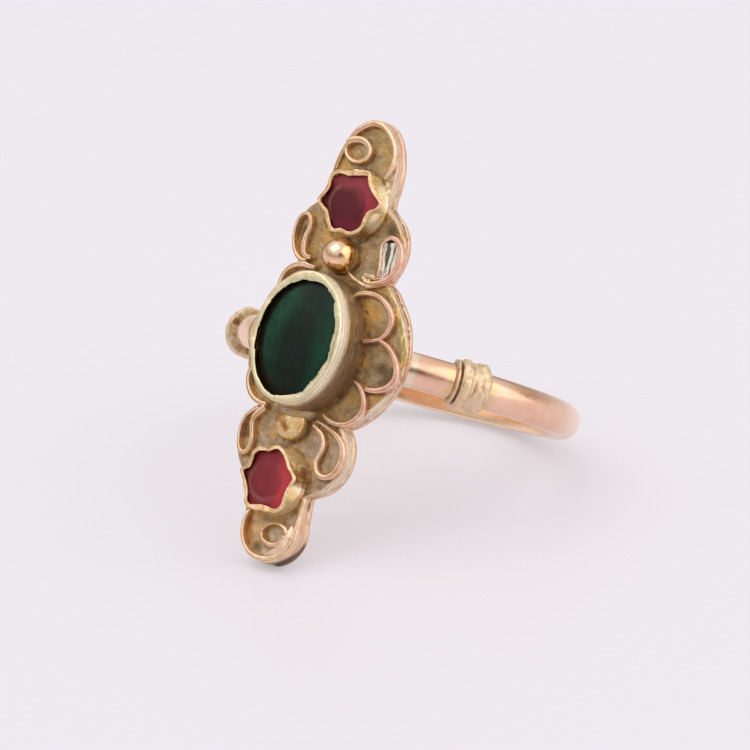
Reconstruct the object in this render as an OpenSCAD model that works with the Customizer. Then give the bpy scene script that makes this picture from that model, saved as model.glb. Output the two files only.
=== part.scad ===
// A navette ring: a long scalloped plaque across a plain hoop, lying on its side.
// The plaque carries applied wirework, two beads, a tall oval collet with a green stone
// and two six-pointed crimped collets with red stones. All metal is soldered into one solid.
// Plan coordinates: x across the plaque, y along it, z up from its face.

/* [Hoop] */
// Diameter of the finger hole
finger_d = 18; // [15:0.1:21]
// Thickness of the hoop, from the finger hole out
hoop_t = 1.5; // [1.2:0.05:2.2]
// Width of the hoop along the finger
hoop_w = 2; // [1.5:0.05:2.6]
// How much wider than half the hoop the radius of its rounded outer side is
crown_flare = 0.1; // [0.05:0.01:0.12]
// Gap between the finger hole and the back of the plaque
seat_gap = 0.05; // [0.03:0.01:0.2]
// Half angle that the hoop leaves open behind the plaque
open_angle = 12; // [8:1:18]

/* [Collars] */
// Angle between the plaque's middle and each collar
collar_angle = 55; // [50:1:70]
// Length of a collar along the hoop
collar_len = 1.9; // [1.2:0.1:2.6]
// How far a collar stands out of the hoop
collar_t = 0.32; // [0.15:0.01:0.5]
// How far a collar's ridges stand out of the collar
ridge_t = 0.14; // [0.06:0.01:0.3]
// Length of one ridge along the hoop
ridge_len = 0.5; // [0.3:0.05:0.6]
// Distance between the middles of a collar's two ridges
ridge_apart = 1.1; // [0.8:0.05:1.3]
// Length of the thin ring in front of a collar
ring_len = 0.28; // [0.2:0.02:0.4]
// How far the collars stay out of the finger hole
collar_inset = 0.2; // [0.1:0.05:0.4]
// How far the solder stands out where the hoop meets the plaque
solder_t = 0.12; // [0.05:0.01:0.25]
// Length of that solder along the hoop
solder_len = 0.8; // [0.5:0.05:1.2]

/* [Plaque] */
// Thickness of the plaque, back plate included
plaque_t = 0.9; // [0.8:0.05:1.6]
// Thickness of the back plate
back_t = 0.3; // [0.2:0.02:0.4]
// How far the back plate stands out round the plaque
back_proud = 0.08; // [0.06:0.01:0.25]
// Distance from the middle to where the upper pointed end is widest
upper_end_y = 9.8; // [9.4:0.1:10.4]
// Half the width of the upper pointed end
upper_end_w = 2.16; // [2:0.02:2.3]
// Length of the upper pointed end, from its widest place to its tip
upper_end_l = 3.3; // [2.9:0.1:3.6]
// Sideways place of the upper pointed end
upper_end_x = -0.1; // [-0.4:0.05:0.4]
// Distance from the middle to the centre of the lower rounded end
lower_end_y = 10.75; // [10.2:0.05:12]
// Radius of the lower rounded end
lower_end_r = 1.95; // [1.8:0.05:2.3]
// Sideways place of the lower rounded end
lower_end_x = 0.4; // [-0.5:0.05:0.5]
// Width of the flat that wear has left on the lower end
worn_w = 1.3; // [1:0.1:2.2]
// Distance from the middle to the centre of a scroll's lobe
scroll_y = 6; // [5.6:0.05:6.4]
// How far the upper right scroll lobe reaches sideways
scroll_upper_right = 3.75; // [3.6:0.05:4.2]
// How far the lower right scroll lobe reaches sideways
scroll_right = 4; // [3.8:0.05:4.2]
// How far the left-hand scroll lobes reach sideways
scroll_left = 3.5; // [3.3:0.05:4.2]
// Radius of a scroll's lobe
scroll_r = 2.42; // [2.2:0.02:2.6]
// How far the right-hand middle lobe reaches sideways
side_right = 5.75; // [5.6:0.05:6]
// How far the left-hand middle lobe reaches sideways
side_left = 4.6; // [4.4:0.05:5.8]
// Distance from the middle to the notches between middle and scroll lobes
notch_y = 4.2; // [4:0.05:4.4]

/* [Wirework] */
// Width of the applied wire
wire_w = 0.3; // [0.22:0.01:0.36]
// Height of the applied wire
wire_h = 0.38; // [0.25:0.01:0.6]
// How far the wire stays inside the plaque's edge
wire_inset = 0.05; // [0.03:0.01:0.1]
// Radius of the curl on the upper end
curl_up_r = 0.88; // [0.8:0.01:1]
// Radius of the curl on the lower end
curl_low_r = 0.78; // [0.7:0.01:0.9]
// Radius of the petals' arcs beside the middle stone
petal_r = 1.45; // [1.35:0.05:1.55]

/* [Middle collet] */
// Width of the opening over the green stone
oval_w = 4.95; // [4.6:0.05:5.4]
// Length of the opening over the green stone
oval_l = 6.8; // [6:0.1:7]
// Height of the collet above the plaque's face
oval_h = 2.4; // [2:0.05:3]
// How far the rim reaches in over the stone
oval_lip = 0.12; // [0.1:0.02:0.25]
// Thickness of the rim over the stone
oval_rim_t = 0.28; // [0.2:0.02:0.4]
// Thickness of the collet's wall
oval_wall = 0.3; // [0.26:0.02:0.45]
// How far the darker foot of the collet stands out
oval_foot = 0.1; // [0.06:0.01:0.2]
// Height of the darker foot
oval_foot_h = 1.25; // [0.8:0.05:1.6]

/* [Star collets] */
// Distance from the plaque's middle to a star collet
star_y = 8.15; // [7.9:0.05:8.4]
// Outer diameter of a star collet
star_d = 3.9; // [3.7:0.05:4]
// Height of a star collet above the plaque's face
star_h = 1.05; // [0.95:0.05:1.6]
// Radius at the points of the six-pointed opening
star_point_r = 1.74; // [1.66:0.01:1.78]
// Radius at the waists of the six-pointed opening
star_waist_r = 1.34; // [1.25:0.01:1.4]
// Thickness of the crimped rim over the stone
star_rim_t = 0.32; // [0.25:0.01:0.4]
// Thickness of the wall round the stone
star_wall = 0.24; // [0.2:0.01:0.28]
// Turn of the upper opening, so that points lie left and right
star_turn_up = 0; // [0:1:30]
// Turn of the lower opening
star_turn_low = 18; // [0:1:30]

/* [Stones and beads] */
// Gap between a stone and its collet
stone_gap = 0.05; // [0.03:0.01:0.1]
// How far the green stone's low dome rises above its edge
dome_h = 0.42; // [0.3:0.01:0.5]
// Radius of a red stone's round table
table_r = 1.12; // [0.9:0.01:1.2]
// Height of a red stone's cut crown
crown_h = 0.3; // [0.2:0.01:0.36]
// Distance from the plaque's middle to a bead
bead_y = 5.15; // [5:0.05:5.4]
// Diameter of a bead
bead_d = 1.9; // [1.7:0.05:2]
// Sideways place of the beads
bead_x = 0.15; // [-0.3:0.05:0.3]
// Height of a bead's centre above the plaque's face
bead_z = 0.5; // [0.3:0.05:0.6]
// Height at which wear has flattened the lower bead
bead_flat_z = 0.95; // [0.8:0.05:1.2]

/* [Hidden] */
$fn = 64;

// How deep applied pieces sink into what carries them, so that they fuse
sink = 0.1;

// The hoop and where its middle lies behind the plaque's face
finger_r = finger_d / 2;
hoop_r = finger_r + hoop_t;
crown_r = hoop_w / 2 + crown_flare;
crown_c = hoop_r - crown_r;
hoop_y = plaque_t + seat_gap + finger_r;
body_t = plaque_t - back_t;

// The lower end's flat: how far it lies from the middle
back_end_r = lower_end_r + back_proud;
worn_y = lower_end_y + sqrt(pow(back_end_r, 2) - pow(worn_w / 2, 2));

// The tilt at which the lower end's back edge and the hoop's crown both touch the floor
reach_y = finger_r + seat_gap + crown_c;
rest_tilt = acos(crown_r / norm([reach_y, worn_y])) - atan2(reach_y, worn_y);
rest_lift = plaque_t * sin(rest_tilt) + worn_y * cos(rest_tilt);
front_y = -wire_h * cos(rest_tilt) - (lower_end_y + lower_end_r - wire_inset) * sin(rest_tilt);
rear_y = (hoop_y + crown_c) * cos(rest_tilt) + crown_r;
middle_y = (front_y + rear_y) / 2;

// Where the lobes lie on each side, the right one being 1 and the left one -1
function side_reach(side) = side > 0 ? side_right : side_left;
function scroll_reach(side, end) =
    side < 0 ? scroll_left : end > 0 ? scroll_upper_right : scroll_right;
function scroll_x(side, end) = side * (scroll_reach(side, end) - scroll_r);
function notch_x(side) =
    abs(scroll_x(side, -1)) + sqrt(pow(scroll_r, 2) - pow(scroll_y - notch_y, 2));
function scroll_wire_x(side, end) =
    scroll_reach(side, end) - wire_inset - wire_w / 2 - scroll_r * SCROLL_WIDE;

// Where round a scroll's lobe the straight stretch towards the star collet begins
shoulder_angle = 42;

// The two ends as half width and half length
upper_end = [upper_end_w, upper_end_l];
lower_end = [lower_end_r, lower_end_r];

// Where round the ends the rim wires start and stop and where their curls join them, and the
// curls' places as shares of the ends' half width and half length
UPPER_RIM = [0, 168];
UPPER_JOIN = 155;
UPPER_CURL = [-0.3, 0.44];
LOWER_RIM = [148, 385];
LOWER_JOIN = 315;
LOWER_CURL = [0.2, -0.12];

// The middle collet's ovals, as half width and half length
oval_open = [oval_w / 2, oval_l / 2];
oval_seat = oval_open + [oval_lip, oval_lip];
oval_out = oval_seat + [oval_wall, oval_wall];
oval_stone = oval_seat - [stone_gap, stone_gap];
oval_ledge = oval_h - oval_rim_t;

// The star collets and their stones
star_seat_r = star_d / 2 - star_wall;
star_ledge = star_h - star_rim_t;
red_r = star_seat_r - stone_gap;

// Rounded colours of the metal and the stones
GOLD = [0.89, 0.71, 0.5];
GREEN = [0.07, 0.26, 0.18];
RED = [0.5, 0.12, 0.18];

// A scroll's wire as points inside its lobe, in shares of the lobe's radius:
// across from the lobe's centre, and along, away from the plaque's middle
SCROLL = [[0.38, -0.66], [0.36, -0.3], [0.24, 0.06], [0.26, 0.36], [0.46, 0.48],
          [0.7, 0.4], [0.86, 0.12], [0.84, -0.26], [0.62, -0.6], [0.3, -0.84],
          [-0.02, -0.84], [-0.2, -0.72]];
SCROLL_WIDE = 0.87;

// Petals beside the middle stone: how far each lies inside the lobe's edge, in shares of
// a petal's radius, and its place along the lobe, in shares of the distance to its notch
RIGHT_PETALS = [[0.8, 0.53], [0.01, -0.1], [0.9, -0.68]];
LEFT_PETALS = [[0.55, 0.68], [0.02, -0.04], [0.45, -0.69]];

// Smooth curves through a few points, and strips and rings of wire along them
function smooth(p, i, t) =
    let (a = p[max(i - 1, 0)], b = p[i], c = p[i + 1], d = p[min(i + 2, len(p) - 1)])
    0.5 * (2 * b + (c - a) * t + (2 * a - 5 * b + 4 * c - d) * t * t
           + (3 * b - a - 3 * c + d) * t * t * t);
function curve(p, steps) = [
    for (i = [0:len(p) - 2]) for (k = [0:steps - 1]) smooth(p, i, k / steps),
    p[len(p) - 1]];
function side_of(p, i) =
    let (d = p[min(i + 1, len(p) - 1)] - p[max(i - 1, 0)])
    [-d.y, d.x] / norm(d);
function strip(p, w) = concat(
    [for (i = [0:len(p) - 1]) p[i] + side_of(p, i) * w / 2],
    [for (i = [len(p) - 1:-1:0]) p[i] - side_of(p, i) * w / 2]);
function arc(r, from, to, steps = 16) = [
    for (k = [0:steps]) let (a = from + (to - from) * k / steps) r * [cos(a), sin(a)]];
function oval(half, n = 48) = [
    for (k = [0:n - 1]) [half.x * cos(360 * k / n), half.y * sin(360 * k / n)]];
function star(turn) = [
    for (k = [0:11]) (k % 2 == 0 ? star_point_r : star_waist_r)
        * [cos(30 * k + turn), sin(30 * k + turn)]];

// Stands a plan shape on the plaque, from one height above its face to another
module raised(from, to) {
    rotate([90, 0, 0]) translate([0, 0, from]) linear_extrude(to - from) children();
}

// Lays the upright ring down as it rests
module at_rest() {
    translate([0, -middle_y, rest_lift]) rotate([-rest_tilt, 0, 0]) children();
}

module wire_ring(r) {
    difference() {
        circle(r);
        circle(r - wire_w);
    }
}

// The plaque's outline, grown by a margin
module outline(grow) {
    translate([upper_end_x, upper_end_y]) polygon(oval(upper_end + [grow, grow]));
    translate([lower_end_x, -lower_end_y]) circle(lower_end_r + grow);
    for (side = [-1, 1]) {
        middle_lobe(side, grow);
        for (end = [-1, 1])
            translate([scroll_x(side, end), end * scroll_y]) circle(scroll_r + grow);
    }
    neck(upper_end_x, upper_end_y, upper_end_w + grow, 1);
    neck(lower_end_x, lower_end_y, lower_end_r + grow, -1);
}

// The wide lobe on one side, an arc through its two notches and its reach
module middle_lobe(side, grow) {
    rise = side_reach(side) - notch_x(side);
    r = (pow(notch_y, 2) + pow(rise, 2)) / (2 * rise);
    half = side_reach(side) + grow + sink;
    intersection() {
        translate([side * (side_reach(side) - r), 0]) circle(r + grow);
        translate([side > 0 ? -sink : sink - half, -scroll_y]) square([half, 2 * scroll_y]);
    }
}

// The straight-sided stretch from a rounded end past its star collet to the lobes
module neck(end_x, end_y, end_r, end) {
    half = end_r - wire_inset;
    waist = star_d / 2 + 2 * wire_inset;
    waist_y = star_y + star_d / 10;
    shoulder = scroll_r * cos(shoulder_angle) - wire_inset;
    shoulder_y = scroll_y + scroll_r * sin(shoulder_angle) - wire_inset;
    polygon([[end_x - half, end * end_y], [end_x + half, end * end_y],
             [waist, end * waist_y], [scroll_x(1, end) + shoulder, end * shoulder_y],
             [scroll_x(-1, end) - shoulder, end * shoulder_y], [-waist, end * waist_y]]);
}

// The outline with the lower end worn flat where it rests
module worn_outline(grow) {
    difference() {
        outline(grow);
        translate([lower_end_x - lower_end_r * 2, -worn_y - lower_end_r * 4])
            square(lower_end_r * 4);
    }
}

module plaque() {
    raised(-body_t - sink, 0) worn_outline(0);
    raised(-plaque_t, -body_t) worn_outline(back_proud);
}

// One rim wire that follows an end of the plaque, and the curl that it finishes in
module rim_wire(end, rim, join, curl, curl_r) {
    inside = wire_inset + wire_w / 2;
    half = end - [inside, inside];
    place = [end.x * curl.x, end.y * curl.y];
    meet = [half.x * cos(join), half.y * sin(join)];
    way = (meet - place) / norm(meet - place);
    polygon(strip([for (p = arc(1, rim[0], rim[1])) [half.x * p.x, half.y * p.y]], wire_w));
    polygon(strip([place + way * (curl_r - wire_w / 2), meet], 2 * wire_w));
    translate(place) wire_ring(curl_r);
}

// A teardrop scroll in one lobe: the drop, and the tail that turns away under it
module scroll_wire(side, end) {
    at = [scroll_wire_x(side, end), scroll_y];
    points = [for (s = SCROLL) at + scroll_r * s];
    scale([side, end]) {
        polygon(strip(curve([for (i = [0:9]) points[i]], 3), wire_w));
        polygon(strip(curve([for (i = [8:11]) points[i]], 3), wire_w));
    }
}

// Three petals on one side, between the collet and the rim; the middle one runs up to its
// neighbours
module petal_wires(side) {
    at = [for (p = side > 0 ? RIGHT_PETALS : LEFT_PETALS)
        [side * (side_reach(side) - wire_inset - petal_r - p.x * petal_r), p.y * notch_y]];
    difference() {
        for (place = at) translate(place) circle(petal_r);
        for (place = at) translate(place) circle(petal_r - wire_w);
        polygon(oval(oval_out));
    }
    difference() {
        for (end = [0, 2]) translate(at[end]) wire_ring(petal_r);
        polygon(oval(oval_out));
    }
}

module wirework() {
    raised(-sink, wire_h) {
        translate([upper_end_x, upper_end_y])
            rim_wire(upper_end, UPPER_RIM, UPPER_JOIN, UPPER_CURL, curl_up_r);
        translate([lower_end_x, -lower_end_y])
            rim_wire(lower_end, LOWER_RIM, LOWER_JOIN, LOWER_CURL, curl_low_r);
        for (side = [-1, 1]) {
            for (end = [-1, 1]) scroll_wire(side, end);
            petal_wires(side);
        }
    }
}

module star_collet(y, turn) {
    difference() {
        raised(-sink, star_h) translate([0, y]) circle(star_d / 2);
        raised(0, star_ledge) translate([0, y]) circle(star_seat_r);
        raised(star_ledge - sink, star_h + sink) translate([0, y]) polygon(star(turn));
    }
}

module oval_collet() {
    difference() {
        union() {
            raised(-sink, oval_h) polygon(oval(oval_out));
            raised(-sink, oval_foot_h) polygon(oval(oval_out + [oval_foot, oval_foot]));
        }
        raised(0, oval_ledge) polygon(oval(oval_seat));
        raised(oval_ledge - sink, oval_h + sink) polygon(oval(oval_open));
    }
}

module bead(y) {
    translate([bead_x, -bead_z, y]) sphere(bead_d / 2);
}

module beads() {
    bead(bead_y);
    difference() {
        bead(-bead_y);
        translate([bead_x - bead_d, -bead_flat_z - bead_d, -bead_y - bead_d])
            cube([2 * bead_d, bead_d, 2 * bead_d]);
    }
}

// The hoop's D-shaped section, grown by a margin, with its flat side at the given radius
module hoop_section(grow, inner) {
    intersection() {
        translate([crown_c, 0]) circle(crown_r + grow);
        translate([inner, -hoop_w / 2 - grow]) square([hoop_t * 2, hoop_w + 2 * grow]);
    }
    translate([inner, -hoop_w / 2 - grow]) square([crown_c - inner, hoop_w + 2 * grow]);
}

// A stretch of the hoop's ring, centred on an angle from the plaque's middle
module hoop_stretch(middle, span, grow, inner) {
    translate([0, hoop_y, 0]) rotate([0, 0, -90 + middle - span / 2])
        rotate_extrude(angle = span) hoop_section(grow, inner);
}

module hoop() {
    difference() {
        hoop_stretch(180, 360 - 2 * open_angle, 0, finger_r);
        translate([-hoop_r, -hoop_r + plaque_t - back_t / 2, -hoop_w])
            cube([2 * hoop_r, hoop_r, 2 * hoop_w]);
    }
}

function along(length) = length / hoop_r * 180 / PI;

// A collar with its two ridges, and the thin ring between it and the plaque
module collar(side) {
    inner = finger_r + collar_inset;
    hoop_stretch(side * collar_angle, along(collar_len), collar_t, inner);
    for (k = [-0.5, 0.5])
        hoop_stretch(side * collar_angle + along(k * ridge_apart), along(ridge_len),
                     collar_t + ridge_t, inner + ridge_t / 2);
    hoop_stretch(side * (collar_angle - along(collar_len / 2 + ring_len)), along(ring_len),
                 collar_t, inner);
}

// Solder where the hoop runs under the plaque's edge
module solder(side) {
    foot = acos((finger_r + seat_gap) / hoop_r);
    hoop_stretch(side * foot, along(solder_len), solder_t, finger_r + collar_inset);
}

module ring_mount() {
    color(GOLD) at_rest() {
        plaque();
        wirework();
        star_collet(star_y, star_turn_up);
        star_collet(-star_y, star_turn_low);
        oval_collet();
        beads();
        hoop();
        for (side = [-1, 1]) {
            collar(side);
            solder(side);
        }
    }
}

// The green stone: an oval with a low dome that clears the rim by the stone's gap. The dome
// is a barrel's side, curved more across than along
module centre_stone() {
    dome_at_rim = dome_h * (1 - pow(oval_open.x / oval_stone.x, 2));
    top_h = oval_ledge - stone_gap - dome_at_rim + dome_h;
    across_r = (pow(oval_stone.x, 2) + pow(dome_h, 2)) / (2 * dome_h);
    along_r = (pow(oval_stone.y, 2) + pow(dome_h, 2)) / (2 * dome_h);
    color(GREEN) at_rest() intersection() {
        raised(stone_gap, top_h + sink) polygon(oval(oval_stone));
        translate([0, across_r - top_h, 0]) rotate_extrude($fn = 180) intersection() {
            translate([across_r - along_r, 0]) circle(along_r, $fn = 180);
            translate([0, -oval_l]) square([across_r, 2 * oval_l]);
        }
    }
}

// A red stone: a round girdle, eight crown facets and a table
module red_stone(y, turn) {
    edge_h = star_ledge - stone_gap - crown_h;
    color(RED) at_rest() translate([0, 0, y]) rotate([90, 0, 0]) rotate([0, 0, turn]) {
        translate([0, 0, stone_gap]) cylinder(r = red_r, h = edge_h - stone_gap, $fn = 16);
        translate([0, 0, edge_h]) cylinder(r1 = red_r, r2 = table_r, h = crown_h, $fn = 8);
    }
}

module upper_stone() {
    red_stone(star_y, star_turn_up);
}

module lower_stone() {
    red_stone(-star_y, star_turn_low);
}

ring_mount();
centre_stone();
upper_stone();
lower_stone();
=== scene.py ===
"""A navette ring on its side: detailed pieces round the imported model, materials, light and camera."""
import math

import bmesh
import bpy
import numpy as np
from mathutils import Matrix, Vector

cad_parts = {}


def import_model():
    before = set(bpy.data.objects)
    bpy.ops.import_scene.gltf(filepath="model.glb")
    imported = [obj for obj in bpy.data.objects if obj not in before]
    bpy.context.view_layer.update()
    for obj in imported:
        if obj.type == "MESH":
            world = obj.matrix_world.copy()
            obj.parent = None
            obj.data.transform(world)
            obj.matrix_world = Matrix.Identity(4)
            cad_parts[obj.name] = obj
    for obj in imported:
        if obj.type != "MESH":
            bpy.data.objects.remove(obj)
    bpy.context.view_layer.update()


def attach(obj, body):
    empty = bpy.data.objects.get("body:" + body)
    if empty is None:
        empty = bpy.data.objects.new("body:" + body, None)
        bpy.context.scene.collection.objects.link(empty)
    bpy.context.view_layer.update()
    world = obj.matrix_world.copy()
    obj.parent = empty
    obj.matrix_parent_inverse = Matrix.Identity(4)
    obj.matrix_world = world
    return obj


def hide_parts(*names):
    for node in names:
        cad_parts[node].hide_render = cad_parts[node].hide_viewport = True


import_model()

scene = bpy.context.scene

# Sizes in mm, as in the part's source. Plan coordinates are x across the plaque, y along it
# and h above its face. Ends of the plaque are x, y, half width and half length.
FINGER_R, HOOP_T, HOOP_W, CROWN_R, SEAT_GAP, OPEN_ANGLE = 9.0, 1.5, 2.0, 1.1, 0.05, 12.0
PLAQUE_T, BACK_T, BACK_PROUD = 0.9, 0.3, 0.08
UPPER_END, LOWER_END = (-0.1, 9.8, 2.16, 3.3), (0.4, -10.75, 1.95, 1.95)
WORN_W = 1.3
SCROLL_Y, SCROLL_R, NOTCH_Y = 6.0, 2.42, 4.2
SCROLL_REACH = {(1, 1): 3.75, (1, -1): 4.0, (-1, 1): 3.5, (-1, -1): 3.5}
SIDE_REACH = {1: 5.75, -1: 4.6}
WIRE_W, WIRE_H, WIRE_INSET, WIRE_STEP = 0.3, 0.38, 0.05, 0.045
STAR_Y, STAR_D, STAR_H = 8.15, 3.9, 1.05
OVAL_OPEN, OVAL_LIP, OVAL_WALL, OVAL_FOOT = (2.475, 3.4), 0.12, 0.3, 0.1
OVAL_H, OVAL_RIM_T = 2.4, 0.28
STONE_GAP, DOME_H = 0.05, 0.42
BEADS, BEAD_R, BEAD_H = {1: (0.15, 5.18), -1: (-0.02, -4.66)}, 0.99, 0.5
COLLAR_ANGLE, COLLAR_LEN, COLLAR_T = 55.0, 1.9, 0.32
RIDGE_T, RIDGE_LEN, RIDGE_APART, RING_LEN = 0.14, 0.5, 1.1, 0.28
SOLDER_T, SOLDER_LEN, BAND_IN = 0.12, 0.8, 0.2

HOOP_R = FINGER_R + HOOP_T
CROWN_C = HOOP_R - CROWN_R
HOOP_H = -(PLAQUE_T + SEAT_GAP + FINGER_R)
WORN_Y = math.sqrt((LOWER_END[2] + BACK_PROUD) ** 2 - (WORN_W / 2) ** 2) - LOWER_END[1]

# How the upright ring is laid down
REACH_H = FINGER_R + SEAT_GAP + CROWN_C
TILT = math.acos(CROWN_R / math.hypot(REACH_H, WORN_Y)) - math.atan2(REACH_H, WORN_Y)
LIFT = PLAQUE_T * math.sin(TILT) + WORN_Y * math.cos(TILT)
FRONT = -WIRE_H * math.cos(TILT) - (LOWER_END[2] - LOWER_END[1] - WIRE_INSET) * math.sin(TILT)
REAR = (CROWN_C - HOOP_H) * math.cos(TILT) + CROWN_R
MIDDLE = (FRONT + REAR) / 2

MM = 0.001
AXES = np.array([[1, 0, 0],
                 [0, math.sin(TILT), math.cos(TILT)],
                 [0, -math.cos(TILT), math.sin(TILT)]])


def world(points):
    """Plan coordinates in mm as places in the frame, in metres."""
    return (np.asarray(points, float) @ AXES + [0, -MIDDLE, LIFT]) * MM


# Noise and small helpers

def value_noise(points, size, seed):
    """Smooth noise from -1 to 1 at each point, with lumps of about that size in mm."""
    p = np.asarray(points, float) / size + 100.0 + seed * 7.31
    cell = np.floor(p).astype(np.int64)
    f = p - cell
    f = f * f * (3 - 2 * f)
    total = np.zeros(p.shape[:-1])
    for corner in range(8):
        step = np.array([corner & 1, corner >> 1 & 1, corner >> 2])
        c = cell + step
        n = (c[..., 0] * 374761393 + c[..., 1] * 668265263 + c[..., 2] * 2147483647
             + seed * 144665) & 0xFFFFFFFF
        n = ((n ^ (n >> 13)) * 1274126177) & 0xFFFFFFFF
        n = (n ^ (n >> 16)) & 0xFFFF
        weight = np.prod(np.where(step == 1, f, 1 - f), axis=-1)
        total += weight * (n / 32767.5 - 1)
    return total


def noises(points, *layers):
    """Noise in layers, each a strength, a size and a seed."""
    return sum(strength * value_noise(points, size, seed) for strength, size, seed in layers)


def smoothstep(a, b, x):
    """From 0 to 1 as x goes from a to b."""
    t = np.clip((np.asarray(x, float) - a) / (b - a), 0, 1)
    return t * t * (3 - 2 * t)


def curve_through(points, steps, closed=False):
    """A smooth curve through points, with that many steps from each one to the next."""
    p = np.asarray(points, float)
    n = len(p)
    out = []
    for i in range(n if closed else n - 1):
        at = np.arange(i - 1, i + 3)
        a, b, c, d = p[at % n if closed else np.clip(at, 0, n - 1)]
        for k in range(steps):
            t = k / steps
            out.append(0.5 * (2 * b + (c - a) * t + (2 * a - 5 * b + 4 * c - d) * t ** 2
                              + (3 * b - a - 3 * c + d) * t ** 3))
    return np.array(out if closed else out + [p[-1]])


def path_lengths(path):
    """How far along a path each of its points is."""
    return np.concatenate([[0], np.cumsum(np.linalg.norm(np.diff(path, axis=0), axis=1))])


def evenly(path, spacing):
    """The same path with points at even distances."""
    gone = path_lengths(path)
    at = np.linspace(0, gone[-1], max(4, int(round(gone[-1] / spacing))) + 1)
    return np.column_stack([np.interp(at, gone, path[:, k]) for k in range(2)])


def around(steps):
    """The angles of a full turn."""
    return np.arange(steps) * 2 * math.pi / steps


# Meshes

def grid_faces(rows, cols, closed_rows=False, closed_cols=False):
    """Four-sided faces between neighbouring points of a grid."""
    i = np.arange(rows if closed_rows else rows - 1)
    j = np.arange(cols if closed_cols else cols - 1)
    i, j = (g.ravel() for g in np.meshgrid(i, j, indexing="ij"))
    i2, j2 = (i + 1) % rows, (j + 1) % cols
    return np.column_stack([i * cols + j, i * cols + j2, i2 * cols + j2, i2 * cols + j])


def tube_faces(rows, cols):
    """Faces of a tube with both ends closed."""
    ends = [range(cols), range((rows - 1) * cols, rows * cols)]
    return list(grid_faces(rows, cols, closed_cols=True)) + ends


def capped_faces(steps, cols, cap):
    """Faces of a round form, with one face across its ring of points number cap."""
    return list(grid_faces(steps, cols, closed_rows=True)) + [np.arange(steps) * cols + cap]


def ring_points(middle, rows, angle):
    """Points round a middle from (radius, height) rows."""
    points = np.empty((len(angle), len(rows), 3))
    for k, (r, h) in enumerate(rows):
        points[:, k, 0] = middle[0] + r * np.cos(angle)
        points[:, k, 1] = middle[1] + r * np.sin(angle)
        points[:, k, 2] = h
    return points


def make_piece(name, parts, surfaces, node="ring_mount", sharp=None, marks=None):
    """One piece from (plan points, faces, surface number) parts. surfaces names its materials.
    marks adds named values, as a list or as a function of the plan points."""
    verts, faces, numbers, at = [], [], [], 0
    for points, quads, number in parts:
        points = np.asarray(points, float).reshape(-1, 3)
        verts.append(points)
        faces += [tuple(int(k) + at for k in q) for q in quads]
        numbers += np.broadcast_to(number, len(quads)).tolist()
        at += len(points)
    plan = np.vstack(verts)
    mesh = bpy.data.meshes.new(name)
    mesh.from_pydata(world(plan).tolist(), [], faces)
    for surface in surfaces.split():
        mesh.materials.append(materials[surface])
    mesh.polygons.foreach_set("material_index", numbers)
    where = mesh.attributes.new("plan", "FLOAT_VECTOR", "POINT")
    where.data.foreach_set("vector", plan.astype(np.float32).ravel())
    for mark, values in (marks or {}).items():
        layer = mesh.attributes.new(mark, "FLOAT", "POINT")
        values = values(plan) if callable(values) else values
        layer.data.foreach_set("value", np.asarray(values, np.float32).ravel())
    bm = bmesh.new()
    bm.from_mesh(mesh)
    bmesh.ops.remove_doubles(bm, verts=bm.verts, dist=1e-6)
    bmesh.ops.recalc_face_normals(bm, faces=bm.faces)
    for face in bm.faces:
        face.smooth = True
    if sharp is not None:
        for edge in bm.edges:
            if len(edge.link_faces) == 2 and edge.calc_face_angle(0) > math.radians(sharp):
                edge.smooth = False
    bm.to_mesh(mesh)
    bm.free()
    piece = bpy.data.objects.new(name, mesh)
    scene.collection.objects.link(piece)
    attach(piece, "root")
    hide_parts(node)


def ribbon_section(groove):
    """An upright strip with rounded top edges and a fine groove along its left side."""
    half, round_r, foot = 1.1 * WIRE_W / 2, 0.1, -0.12
    corner = [(half - round_r + round_r * math.sin(a), WIRE_H - round_r + round_r * math.cos(a))
              for a in np.radians([90, 65, 40, 15, 0])]
    dip = [(-half * 0.2, WIRE_H), (-half * 0.38, WIRE_H - groove),
           (-half * 0.52, WIRE_H - groove * 0.2)]
    return ([(half, foot), (half, WIRE_H * 0.4)] + corner + dip
            + [(-x, h) for x, h in corner[::-1]] + [(-half, WIRE_H * 0.4), (-half, foot)])


# Materials

def rgb(code):
    """A colour as seen, such as f0c9a6, as linear values."""
    parts = [int(code[k:k + 2], 16) / 255 for k in (0, 2, 4)]
    linear = [c / 12.92 if c <= 0.04045 else ((c + 0.055) / 1.055) ** 2.4 for c in parts]
    return tuple(linear) + (1.0,)


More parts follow.
